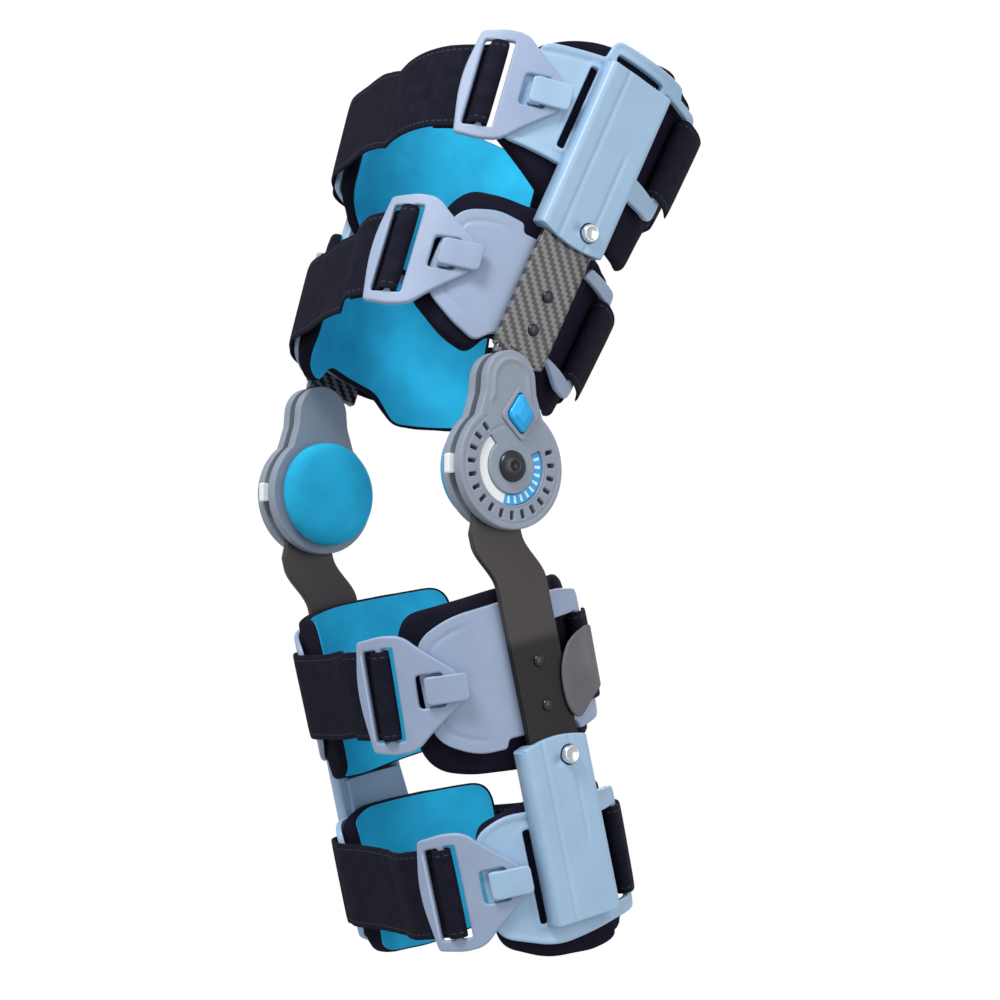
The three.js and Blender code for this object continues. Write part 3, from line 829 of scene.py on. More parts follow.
@dataclass(frozen=True)
class Bar(Finish):
    """Painted bar whose colour turns near black over a span of its length, a painted shade standing in for
    the shade where it faces away from the light, from its UV in millimetres.
    """

    # Near-black colour of the painted shade, and the span along the bar over which it comes in
    dark: tuple[int, int, int] = (22, 19, 22)
    span: tuple[float, float] = (-88.0, -96.0)

    def material(self) -> bpy.types.Material:
        """Material of the bar: plain paint above and painted shade, near black, below.

        Returns:
            The material.
        """
        made = self.shader()
        along = made.uv()[1]
        ease = made.node("ShaderNodeMapRange", interpolation_type="SMOOTHSTEP")
        for name, source in (("Value", along), ("From Min", self.span[0]), ("From Max", self.span[1])):
            made.feed(ease.inputs[name], source)
        # Painted shade: the colour fades to near black below the span, standing in for shade on the lower
        # part
        made.colour(made.blend(ease.outputs[0], self.paint(made), linear(*self.dark)))
        return made.material


@dataclass(frozen=True)
class Dial(Finish):
    """Printed dial: white on one half, blue with white marks on the other, by angle round the pivot."""

    blue: tuple[int, int, int] = (40, 170, 240)
    mark: tuple[int, int, int] = (235, 245, 252)
    marks: float = 26.0
    mark_share: float = 0.34
    mark_radius: float = 17.6
    mark_half: float = 1.9
    slant: float = -0.25

    def material(self) -> bpy.types.Material:
        """Material of the dial from its UV, back and up from the pivot.

        Returns:
            The material.
        """
        made = self.shader()
        back, up = made.uv()
        turn = made.math("DIVIDE", made.math("ARCTAN2", up, back), 2 * math.pi)
        squares = [made.math("MULTIPLY", value, value) for value in (back, up)]
        radius = made.math("SQRT", made.math("ADD", *squares))
        part = made.math("FRACT", made.math("MULTIPLY", turn, self.marks))
        tick = made.math("LESS_THAN", part, self.mark_share)
        band = made.math("COMPARE", radius, self.mark_radius, self.mark_half)
        inked = made.math("MULTIPLY", tick, band)
        across = made.math("ADD", back, made.math("MULTIPLY", up, self.slant))
        half = made.math("GREATER_THAN", across, 0.0)
        printed = made.blend(inked, linear(*self.blue), linear(*self.mark))
        made.colour(made.blend(half, linear(*self.colour), printed))
        return made.material


FINISHES: tuple[Finish, ...] = (
    Finish(Slot.HOUSING, (158, 190, 220), 0.36),
    Finish(Slot.CUFF, (150, 167, 196), 0.42),
    Finish(Slot.HINGE, (140, 150, 166), 0.48),
    Twill(Slot.TWILL, (118, 118, 120), 0.3, grain=0.0001),
    Bar(Slot.DARK_BAR, (66, 61, 62), 0.45, metallic=0.2),
    Cloth(Slot.PAD, (31, 30, 43), 0.95, specular=0.08),
    Cloth(Slot.BLUE_CLOTH, (46, 172, 228), 0.85, specular=0.1, crease=0.0006),
    Webbing(Slot.WEBBING, (33, 33, 45), 0.9, specular=0.08),
    Finish(Slot.BLUE_PLASTIC, (20, 168, 236), 0.25),
    Finish(Slot.SILVER, (225, 229, 234), 0.22, metallic=0.9, mottle=0.04),
    Finish(Slot.STEEL, (66, 68, 74), 0.3, metallic=0.8),
    Dial(Slot.PRINT, (238, 242, 245), 0.4),
)


@dataclass(frozen=True)
class Workshop:
    """Turns surfaces into objects that carry a finish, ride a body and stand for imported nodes."""

    materials: dict[Slot, bpy.types.Material]

    def add(
        self, name: str, surface: Surface, slot: Slot, body: str, nodes: tuple[str, ...],
    ) -> bpy.types.Object:
        """Add one piece to the scene.

        Args:
            name: Object name.
            surface: Points in millimetres, quads and UV.
            slot: Material slot of the record.
            body: Body that the piece moves with.
            nodes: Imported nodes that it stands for.

        Returns:
            The new object, at the origin.
        """
        mesh = bpy.data.meshes.new(name)
        quads = surface.outward()
        mesh.from_pydata(surface.points * MM, [], quads)
        mesh.polygons.foreach_set("use_smooth", np.ones(len(mesh.polygons), bool))
        layer = mesh.uv_layers.new(name="UVMap")
        corners = np.empty(len(mesh.loops), np.int32)
        mesh.loops.foreach_get("vertex_index", corners)
        layer.data.foreach_set("uv", surface.uv[corners].astype(np.float32).ravel())
        mesh.validate()
        piece = bpy.data.objects.new(name, mesh)
        bpy.context.scene.collection.objects.link(piece)
        mesh.materials.append(self.materials[slot])
        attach(piece, body)
        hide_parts(*nodes)
        log.info("%s: %d points, rides %s", name, len(mesh.vertices), body)
        return piece


def resampled(stations: np.ndarray, step: float, softness: float) -> np.ndarray:
    """Even points along a path through stations, rounded by a moving bell-shaped average.

    Args:
        stations: Points in order; the first two columns are way and depth in millimetres.
        step: Distance between points.
        softness: Width of the average, in the same unit.

    Returns:
        Points with the stations' columns.
    """
    length = np.concatenate([[0], np.cumsum(np.linalg.norm(np.diff(stations[:, :2], axis=0), axis=1))])
    at = np.linspace(0, length[-1], int(length[-1] / step) + 1)
    dense = np.stack([np.interp(at, length, column) for column in stations.T], axis=1)
    reach = int(3 * softness / step)
    kernel = np.exp(-((np.arange(-reach, reach + 1) * step / softness) ** 2))
    padded = np.pad(dense, ((reach, reach), (0, 0)), mode="reflect", reflect_type="odd")
    return np.stack([np.convolve(column, kernel / kernel.sum(), "valid") for column in padded.T], axis=1)


# Straps with their buckles and hooks

STRAP_AIR, LEG_AIR = 0.55, 1.2
OVER_WALL = WALL_OUT + STRAP_THICK / 2 + STRAP_AIR
OVER_PAD = PAD_REAR_THICK + STRAP_THICK / 2 + STRAP_AIR
ON_LEG = STRAP_THICK / 2 + LEG_AIR
FOLD: Rows = (
    (56, 8.6), (44, 8.8), (33, 9.6), (28.2, 11), (25.9, 13.4), (25.9, 16.6), (27.2, 18.5), (29.8, 19.2),
    (32.5, 18.5), (33.9, 16.4), (34.6, 13.6), (36.4, 11.8), (40, 11.1), (46, 11.1), (58, 10.4),
)
REAR_FOLD: Rows = (
    (-64, OVER_PAD), (-53, OVER_PAD), (-49, 8.8), (-48, 11.8),
    (-49, 14.3), (-52, 15), (-67, 15.1), (-82, 14.4),
)
REAR_SLOT_FROM = -50.0
SLOT_HALF = 24.8

# Strap path: spacing, softness where it is folded and where it hangs free, and angles in degrees over
# which it comes onto its ring, softens, stiffens again and levels out at the rear
STRAP_STEP, CRISP, SOFT = 0.7, 1.1, 4.5
TO_RING, SOFTENS, STIFFENS, LEVELS_OUT = (80, 118), (90, 115), (285, 310), (270, 300)

# Strap section: points round it, powers that square it off across and through, and steps of a tapered end
SECTION_POINTS, SQUARE_ACROSS, SQUARE_THROUGH, END_STEPS = 56, 0.5, 0.3, 4


def ring_depths(over: float) -> Rows:
    """Depth of a strap's middle on its way round the leg.

    Args:
        over: Depth where it passes over the medial strut.

    Returns:
        Rows of angle from the lateral side in degrees, and depth.
    """
    return (
        (86, ON_LEG), (97, 2.6), (108, 4.8), (118, 7.8), (126, 11), (134, OVER_WALL), (142, OVER_WALL + 0.4),
        (150, OVER_WALL + 1), (158, over - 2.5), (164, over), (174, over - 0.6), (186, over - 0.6),
        (196, over), (203, over - 2.5), (212, OVER_WALL + 0.6), (226, OVER_WALL + 0.5), (233, 11),
        (240, OVER_PAD), (246, OVER_PAD), (253, 4.4), (260, ON_LEG), (284, ON_LEG), (291, 4.4),
        (298, OVER_PAD), (313, OVER_PAD),
    )


@dataclass(frozen=True)
class Band:
    """One strap round the leg, the buckle that it is folded through and the hook that holds it."""

    name: str
    leg: Leg
    hook_way: float
    hook_z: float
    turn: float
    ring_z: float
    tilt: float
    over: float
    buckle_rows: Rows = (
        (41.5, 30, 2), (46.5, 2, 16), (41.5, -30, 2), (28, -32, 3), (17, -31, 8), (9, -23, 6),
        (-9, -8, 4), (-9, 8, 4), (9, 23, 6), (17, 31, 8), (28, 32, 3),
    )
    buckle_holes: tuple[Rows, ...] = (
        box_rows(22.5, -25, 28.2, 25.2, 1.5), box_rows(31.4, -24.8, 38.5, 24.8, 1.5),
        box_rows(-1, -9, 13, 9, 2.5),
    )
    buckle_edge: float = 1.1
    hook_rows: Rows = box_rows(-13, -7.5, 8.5, 7.5, 3)
    hook_edge: float = 0.9
    hook_hollow: tuple[float, float, float] = (0.5, -3.0, 5.0)
    stem_rows: Rows = box_rows(1.5, -7.5, 8.5, 7.5, 1.5)
    stem_overlap: float = 1.0

    def from_hook(self, p: np.ndarray, q: np.ndarray, depth: np.ndarray) -> np.ndarray:
        """Point in the hook's frame: forward along the strap, along the slot, off the leg.

        Args:
            p: Forward from the hook.
            q: Up along the buckle's slot.
            depth: Distance off the leg.

        Returns:
            Points in the shared frame, in millimetres.
        """
        c, s = math.cos(self.turn), math.sin(self.turn)
        return self.leg.wrap(self.hook_way + p * c - q * s, self.hook_z + p * s + q * c, depth)

    def ring_level(self, angle: np.ndarray, depth: np.ndarray) -> np.ndarray:
        """Height of the strap's middle on the tilted plane of its ring.

        Args:
            angle: From the lateral side towards the front.
            depth: Distance off the leg.

        Returns:
            Heights along the segment.
        """
        rise = self.ring_z - self.leg.base_z
        front = self.leg.depth + rise * self.leg.depth_growth + depth - self.leg.front_drop(angle)
        return self.ring_z + self.tilt * (self.leg.centre_y - front * np.sin(angle))

    def rear_level(self) -> float:
        """Height at which the strap passes the rear slot of its wall."""
        return float(self.ring_level(REAR_SLOT_FROM / self.leg.radius(self.ring_z), WALL_OUT))

    def path(self) -> np.ndarray:
        """Rounded middle line of the strap.

        Returns:
            Rows of way, depth, base angle, way off that angle, and share of the ring's plane.
        """
        radius = self.leg.radius(self.ring_z)
        rows = [(0.0, self.hook_way + p, depth, 0.0) for p, depth in FOLD]
        for angle, depth in ring_depths(self.over):
            rows.append((math.radians(angle), 0.0, depth, float(smooth(*TO_RING, np.float64(angle)))))
        rows += [(2 * math.pi, s, depth, 1.0) for s, depth in REAR_FOLD]
        base, off, depth, ring = np.array(rows).T
        stations = np.stack([base * radius + off, depth, base, off, ring], axis=1)
        crisp, soft = (resampled(stations, STRAP_STEP, width) for width in (CRISP, SOFT))
        ends = [math.radians(angle) * radius for angle in (*SOFTENS, *STIFFENS)]
        share = smooth(*ends[:2], crisp[:, 0]) - smooth(*ends[2:], crisp[:, 0])
        return crisp + (soft - crisp) * share[:, None]

    def strap(self) -> Surface:
        """Band with rounded edges swept along its path.

        The section is a flat loop: width times the cosine, squared off, by thickness times the sine.

        Returns:
            The closed surface; its UV is along and across the strap in millimetres.
        """
        way, depth, base, off, ring = self.path().T
        tangent = np.stack([np.gradient(way), np.gradient(depth)])
        tangent /= np.linalg.norm(tangent, axis=0)
        turn = np.linspace(0, 2 * math.pi, SECTION_POINTS, endpoint=False)
        cosine, sine = np.cos(turn), np.sin(turn)
        across = STRAP_WIDTH / 2 * np.sign(cosine) * np.abs(cosine) ** SQUARE_ACROSS
        lift = STRAP_THICK / 2 * np.sign(sine) * np.abs(sine) ** SQUARE_THROUGH
        end = np.minimum(1.0, np.linspace(0, len(way) / END_STEPS, len(way)))
        shrink = np.minimum(end, end[::-1])[:, None]
        lift, across = lift[None] * shrink, np.broadcast_to(across[None], (len(way), SECTION_POINTS))
        angle = base + off / self.leg.radius(self.ring_z)
        line = self.hook_z + (way - self.hook_way) * math.tan(self.turn) * (1 - ring)
        level = line + (self.ring_level(angle, depth) - line) * ring
        rear = 1 - smooth(*map(math.radians, LEVELS_OUT), angle)
        slant = -math.sin(self.turn) * (1 - ring) + self.tilt * np.cos(angle) * rear * ring
        z = level[:, None] + across
        shift = off[:, None] - tangent[1][:, None] * lift + across * slant[:, None]
        grid = self.leg.at_angle(
            base[:, None] + shift / self.leg.radius(z), z, depth[:, None] + tangent[0][:, None] * lift)
        along = np.broadcast_to(np.linspace(0, STRAP_STEP * len(way), len(way))[:, None], across.shape)
        return Surface(grid.reshape(-1, 3), swept(grid), np.stack([along, across], axis=-1).reshape(-1, 2))

    def buckle(self) -> Surface:
        """Ring plate with two slots and a hook hole, curved round the leg.

        Returns:
            The closed surface.
        """
        region = Region(rounded(self.buckle_rows), tuple(rounded(rows) for rows in self.buckle_holes))
        faces = plain(BUCKLE_IN, -0.6), plain(BUCKLE_OUT, self.buckle_edge)
        return sheet(region, *faces, self.from_hook, pitch=0.9, edge=self.buckle_edge)

    def hook(self) -> Surface:
        """Tongue of the wall that hooks over the buckle.

        Returns:
            The closed surface.
        """
        deep, *shape = self.hook_hollow

        def crown(p: np.ndarray, q: np.ndarray, far: np.ndarray) -> np.ndarray:
            """Outer face, hollowed slightly across its middle."""
            return HOOK_OUT - edge_round(far, self.hook_edge) - deep * bump(p, *shape)

        faces = plain(HOOK_IN, -0.5), crown
        region = Region(rounded(self.hook_rows))
        return sheet(region, *faces, self.from_hook, pitch=0.8, edge=self.hook_edge)

    def stem(self) -> Surface:
        """Root of the hook, which rises through the buckle's hole."""
        faces = plain(WALL_OUT - self.stem_overlap), plain(HOOK_IN + self.stem_overlap)
        return sheet(Region(rounded(self.stem_rows)), *faces, self.from_hook, pitch=0.9)

    def build(self, workshop: Workshop) -> None:
        """Add the strap and its buckle.

        Args:
            workshop: Where the pieces are added.
        """
        body = self.leg.body
        surface = self.strap()
        strap = workshop.add(f"{self.name}_band", surface, Slot.WEBBING, body, (f"{self.name}_strap",))
        workshop.add(f"{self.name}_ring", self.buckle(), Slot.CUFF, body, (f"{self.name}_buckle",))


BANDS = {
    band.name: band for band in (
        Band("thigh_upper", THIGH, 44.5, 196.5, math.radians(-8), 203.5, 0.16, 25.4),
        Band("thigh_lower", THIGH, 52.5, 95.5, math.radians(-8), 93, 0.08, 22.8),
        Band("calf_upper", CALF, 54, -107.5, math.radians(3), -108.5, -0.03, 22.8),
        Band("calf_lower", CALF, 42, -215, 0.0, -216, -0.03, 25.4),
    )
}


@dataclass(frozen=True)
class StrapEnd:
    """Rounded free end of a strap, laid on its rear fold and over the rear edge of the strut."""

    band: Band
    rows: Rows = (
        (-72, 13, 4), (-50, 16.5, 8), (-30, 14, 8), (-17, 9, 8), (-11.5, -2, 8), (-11, -18, 6),
        (-13.5, -27, 5), (-20, -29.5, 4), (-42, -21, 8), (-72, -17, 4),
    )
    levels: Rows = (
        (-84, 15.7), (-72, 16.15), (-60, 16.4), (-50, 16.5), (-33, 17.0), (-23, 18.4), (-16.5, 20.2),
        (-14, 20.0), (-6, 18.2),
    )
    thick: float = 1.6
    rear_thick: float = 0.8
    thins: tuple[float, float] = (-70.0, -54.0)
    edge: float = 0.7
    finish: Finish = Cloth(Slot.WEBBING, (106, 105, 110), 0.85, specular=0.15, crease=0.0004)

    def under(self, way: np.ndarray, z: np.ndarray, far: np.ndarray) -> np.ndarray:
        """Depth of the inner face at a way round the leg."""
        at, depth = resampled(np.array(self.levels), step=0.5, softness=1.5).T
        return np.interp(way, at, depth)

    def over(self, way: np.ndarray, z: np.ndarray, far: np.ndarray) -> np.ndarray:
        """Depth of the outer face: thinner towards the rear, with a rounded edge."""
        thick = self.rear_thick + (self.thick - self.rear_thick) * smooth(*self.thins, way)
        return self.under(way, z, far) + thick - edge_round(far, self.edge)

    def build(self, workshop: Workshop) -> None:
        """Add the strap's end as a sheet of its own.

        Args:
            workshop: Where the piece is added.
        """
        name, leg = self.band.name, self.band.leg
        outline = rounded(self.rows) + np.array([0.0, self.band.rear_level()])
        surface = sheet(Region(outline), self.under, self.over, leg.wrap, pitch=0.8, edge=self.edge)
        piece = workshop.add(f"{name}_end", surface, Slot.WEBBING, leg.body, (f"{name}_strap",))
        piece.data.materials[0] = self.finish.material()


# Cuffs, housings and pads


@dataclass(frozen=True)
class Wall:
    """Curved plastic wall of a cuff or housing, with a rear strap slot and its hook on the lateral side."""

    node: str
    band: Band
    finish: Slot
    rear_to: float
    rows: Rows
    slots: tuple[Rows, ...] = ()
    edge: float = 0.9
    groove_in: float = 7.0
    groove_deep: float = 0.55
    groove_width: float = 1.1
    groove_from: tuple[float, float] = (30.0, 44.0)
    inner_edge: float = 0.5
    lip: float = 0.0
    lip_from: tuple[float, float] = (-3.4, -2.4)
    top_line: tuple[float, float] | None = None
    line_deep: float = 0.8
    line_width: float = 0.9
    line_from: tuple[float, float] = (20.0, 24.0)

    def region(self) -> Region:
        """Outline of the wall with its strap slots.

        Returns:
            The region in way round and height.
        """
        level = self.band.rear_level()
        rear = box_rows(REAR_SLOT_FROM, level - SLOT_HALF, self.rear_to, level + SLOT_HALF, 1.5)
        return Region(rounded(self.rows), tuple(rounded(rows) for rows in (rear, *self.slots)))

    def outer(self, way: np.ndarray, z: np.ndarray, far: np.ndarray) -> np.ndarray:
        """Outer depth: a rounded edge, grooves along it or under the wing's top, and a raised lip.

        Args:
            way: Way round the leg.
            z: Height.
            far: Signed distance to the edge.

        Returns:
            Depth off the leg.
        """
        along_edge = self.groove_deep * bump(far, -self.groove_in, self.groove_width)
        groove = along_edge * smooth(*self.groove_from, way)
        if self.top_line:
            height, slope = self.top_line
            line = self.line_deep * bump(z, height + slope * way, self.line_width)
            groove = groove + line * smooth(*self.line_from, way)
        return WALL_OUT - edge_round(far, self.edge) - groove + self.lip * smooth(*self.lip_from, far)

    def build(self, workshop: Workshop, side: Side) -> None:
        """Add the wall, and on the lateral side its hook.

        Args:
            workshop: Where the pieces are added.
            side: Side of the leg.
        """
        leg = self.band.leg
        node = f"{side.prefix}_{self.node}"
        faces = plain(WALL_IN, -self.inner_edge), self.outer
        wall = sheet(self.region(), *faces, leg.on_side(side).wrap, pitch=1.0, edge=self.edge)
        workshop.add(f"{node}_wall", wall.mirrored(side), self.finish, leg.body, (node,))
        if side is Side.LATERAL:
            workshop.add(f"{node}_hook", self.band.hook(), self.finish, leg.body, (node,))
            workshop.add(f"{node}_hook_stem", self.band.stem(), self.finish, leg.body, (node,))


WALLS = (
    Wall("thigh_housing", BANDS["thigh_upper"], Slot.HOUSING, -22.5, (
        (20, 140), (20, 165, 2), (58, 167, 6), (62, 186, 4), (57, 225, 6), (22, 231, 2), (20, 243, 5),
        (-34, 244, 5), (-36, 238, 2), (-60, 239, 8), (-62, 174, 8), (-22, 170, 2), (-20, 140),
    ), (box_rows(22.8, 173.5, 27.8, 223, 2), box_rows(-18.5, 231.5, 16, 236, 2)), groove_deep=0.0, lip=0.5,
        top_line=(229.5, -0.171)),
    Wall("thigh_plate", BANDS["thigh_lower"], Slot.CUFF, -18.5, (
        (64, 121, 14), (42, 128, 6), (26, 127, 2), (24, 122, 2), (-24, 122, 2), (-26, 127, 2), (-60, 129, 6),
        (-62, 64, 8), (-40, 61, 6), (-20, 69, 6), (16, 67, 6), (25, 57, 4), (40, 62, 6), (64, 76, 14),
    )),
    Wall("calf_plate", BANDS["calf_upper"], Slot.CUFF, -18.5, (
        (14, -69, 4), (43, -71, 10), (65, -81, 14), (65, -134, 14), (43, -146, 10), (26, -146, 2),
        (24, -141, 2), (-25, -141, 2), (-28, -146, 2), (-61, -144, 8), (-62, -74, 8), (-30, -70, 4),
    )),
    Wall("calf_housing", BANDS["calf_lower"], Slot.HOUSING, -22.5, (
        (20, -160), (20, -181, 2), (36, -180, 8), (55, -188, 10), (53, -243, 10), (21, -254, 10),
        (-24, -250, 6), (-60, -250, 8), (-62, -183, 8), (-22, -180, 2), (-20, -160),
    ), (box_rows(22.8, -241, 27.8, -190, 2),), groove_deep=0.0, lip=0.5),
)


@dataclass(frozen=True)
class Pad:
    """Foam pad behind a wall: black cloth outside and a blue lining on the leg's side."""

    node: str
    leg: Leg
    rows: Rows
    edge: float = 3.6
    thicker_over: tuple[float, float] = (-38.0, -27.0)
    thinner_over: tuple[float, float] = (44.0, 68.0)
    front_drop: float = 2.4
    pucker: float = 0.35
    pucker_waves: tuple[float, float] = (0.31, 0.17)
    pucker_over: tuple[float, float] = (-9.0, -2.0)
    foam_from: float = PAD_SKIN + 0.5
    foam_edge: float = 1.2
    lining_to: float = PAD_SKIN + 0.7
    lining_inset: float = 1.0
    lining_edge: float = 0.3

    def outer(self, way: np.ndarray, z: np.ndarray, far: np.ndarray) -> np.ndarray:
        """Outer depth: thinner behind the rear slot and at the front edge, with a soft rim.

        Args:
            way: Way round the leg.
            z: Height.
            far: Signed distance to the edge.

        Returns:
            Depth off the leg.
        """
        step = (PAD_THICK - PAD_REAR_THICK) * smooth(*self.thicker_over, way)
        front = self.front_drop * smooth(*self.thinner_over, way)
        wave = np.sin(way * self.pucker_waves[0] + z * self.pucker_waves[1])
        pucker = self.pucker * (1 + wave) * smooth(*self.pucker_over, far)
        return PAD_REAR_THICK + step - front - edge_round(far, self.edge) - pucker

    def build(self, workshop: Workshop, side: Side) -> None:
        """Add the pad and its lining.

        Args:
            workshop: Where the pieces are added.
            side: Side of the leg.
        """
        node = f"{side.prefix}_{self.node}"
        outline = rounded(self.rows)
        place = self.leg.on_side(side).wrap
        faces = plain(self.foam_from, -self.foam_edge), self.outer
        foam = sheet(Region(outline), *faces, place, pitch=1.5, edge=self.edge)
        faces = plain(PAD_SKIN), plain(self.lining_to, self.lining_edge)
        lining = sheet(Region(outline, inset=self.lining_inset), *faces, place, pitch=1.5, edge=0.5)
        cover = workshop.add(f"{node}_foam", foam.mirrored(side), Slot.PAD, self.leg.body, (node,))
        inside = workshop.add(
            f"{node}_lining", lining.mirrored(side), Slot.BLUE_CLOTH, self.leg.body, (node,))


PADS = (
    Pad("thigh_upper_pad", THIGH, (
        (66, 172, 8), (66, 222, 12), (38, 237, 10), (-30, 251, 10), (-86, 248, 12), (-90, 152, 14),
        (-50, 146, 10), (18, 146, 10),
    )),
    Pad("thigh_lower_pad", THIGH, (
        (72, 124, 12), (62, 137, 8), (10, 140, 10), (-84, 136, 14), (-94, 62, 14), (-40, 52, 6), (-22, 66, 6),
        (17, 66, 6), (24, 52, 6), (42, 55, 10), (72, 72, 10),
    )),
    Pad("calf_upper_pad", CALF, (
        (76, -78, 9), (68, -66, 8), (10, -62, 10), (-70, -64, 14), (-74, -152, 14), (16, -159, 10),
        (50, -156, 8), (68, -151, 8), (76, -138, 8),
    )),
    Pad("calf_lower_pad", CALF, (
        (54, -184, 10), (20, -176, 8), (-74, -178, 14), (-74, -256, 14), (-12, -263, 10), (26, -260, 8),
        (53, -249, 10),
    )),
)


# Struts, telescoping channels and hinges

# Radius and height of each ring of a rivet and of a push button
RIVET_ROWS: Rows = ((0, 2.0), (3.4, 2.0), (3.4, 2.6), (2.8, 3.5), (1.4, 3.8), (0, 3.85))
BUTTON_ROWS: Rows = (
    (0, 0.7), (BUTTON_RADIUS, 0.7), (BUTTON_RADIUS, 7.4), (4.6, 8.2), (3.9, 8.6), (3.6, 8.3), (0, 8.3),
)


@dataclass(frozen=True)
class Channel:
    """Raised channel of a housing, which slides on the strut, and its push button."""

    kind: str
    leg: Leg
    middle: float
    half: float
    strut_half: float
    mouth: float
    bow: float
    end: float
    button: tuple[float, float]
    floor: float = -5.2
    top: float = 5.6
    corner: float = 3.0
    edge: float = 0.6
    grooves: tuple[float, float] = (-0.45, 0.4)
    groove_deep: float = 0.5
    groove_width: float = 1.0
    short_groove: tuple[float, float] = (0.62, 0.5)
    recess_at: tuple[float, float] = (-7.5, -1.5)
    recess_deep: float = 1.9
    recess_width: float = 2.2

    def region(self) -> Region:
        """Outline with a bowed mouth and the button's hole, in the strut's back and along.

        Returns:
            The region.
        """
        t = np.linspace(-1, 1, 25)
        mouth = np.stack([self.middle + self.half * t, self.mouth + self.bow * (1 - t * t)], axis=1)
        far_end = np.array([[self.middle + self.half, self.end], [self.middle - self.half, self.end]])
        hole = circle(self.button, BUTTON_RADIUS + BUTTON_PLAY)
        return Region(np.concatenate([mouth, far_end]), (hole,))

    def outer(self, back: np.ndarray, along: np.ndarray, far: np.ndarray) -> np.ndarray:
        """Outer face: round shoulders, a long and a short groove and a recess beside the button.

        Args:
            back: Across the strut.
            along: Up the strut.
            far: Signed distance to the edge.

        Returns:
            Height over the strut's middle plane.
        """
        side = np.abs(back - self.middle) - self.half
        share = (along - self.mouth) / (self.end - self.mouth)
        long, short = (
            bump(back, self.middle + place * self.half, self.groove_width) for place in self.grooves)
        grooves = self.groove_deep * (long + short * smooth(*self.short_groove, share))
        from_button = back - self.button[0], along - self.button[1]
        away = np.hypot(*(value - place for value, place in zip(from_button, self.recess_at)))
        recess = self.recess_deep * bump(away, 0, self.recess_width)
        rounding = edge_round(side, self.corner) + edge_round(far, self.edge)
        return self.top - rounding - grooves - recess

    def inner(self, back: np.ndarray, along: np.ndarray, far: np.ndarray) -> np.ndarray:
        """Inner face: the roof of the strut's bore, and the floor outside it."""
        return np.where(np.abs(back) < self.strut_half + GAP, STRUT_HALF + GAP, self.floor)

    def build(self, workshop: Workshop, side: Side) -> None:
        """Add the channel and its button.

        Args:
            workshop: Where the pieces are added.
            side: Side of the leg.
        """
        housing, button = (f"{side.prefix}_{self.kind}_{part}" for part in ("housing", "button"))
        shell = sheet(
            self.region(), self.inner, self.outer, self.leg.on_strut, pitch=0.9, edge=self.edge)
        workshop.add(f"{housing}_channel", shell.mirrored(side), Slot.HOUSING, self.leg.body, (housing,))
        knob = turned(BUTTON_ROWS, self.button, self.leg.on_strut).mirrored(side)
        workshop.add(f"{button}_knob", knob, Slot.SILVER, button, (button,))


CHANNELS = (
    Channel("thigh", THIGH, 0.0, 22.0, 17.0, 68.0, -3.5, 167.0, (7, 76)),
    Channel("calf", CALF, -1.5, 21.5, 16.25, -148.0, 3.5, -243.0, (5, -156)),
)


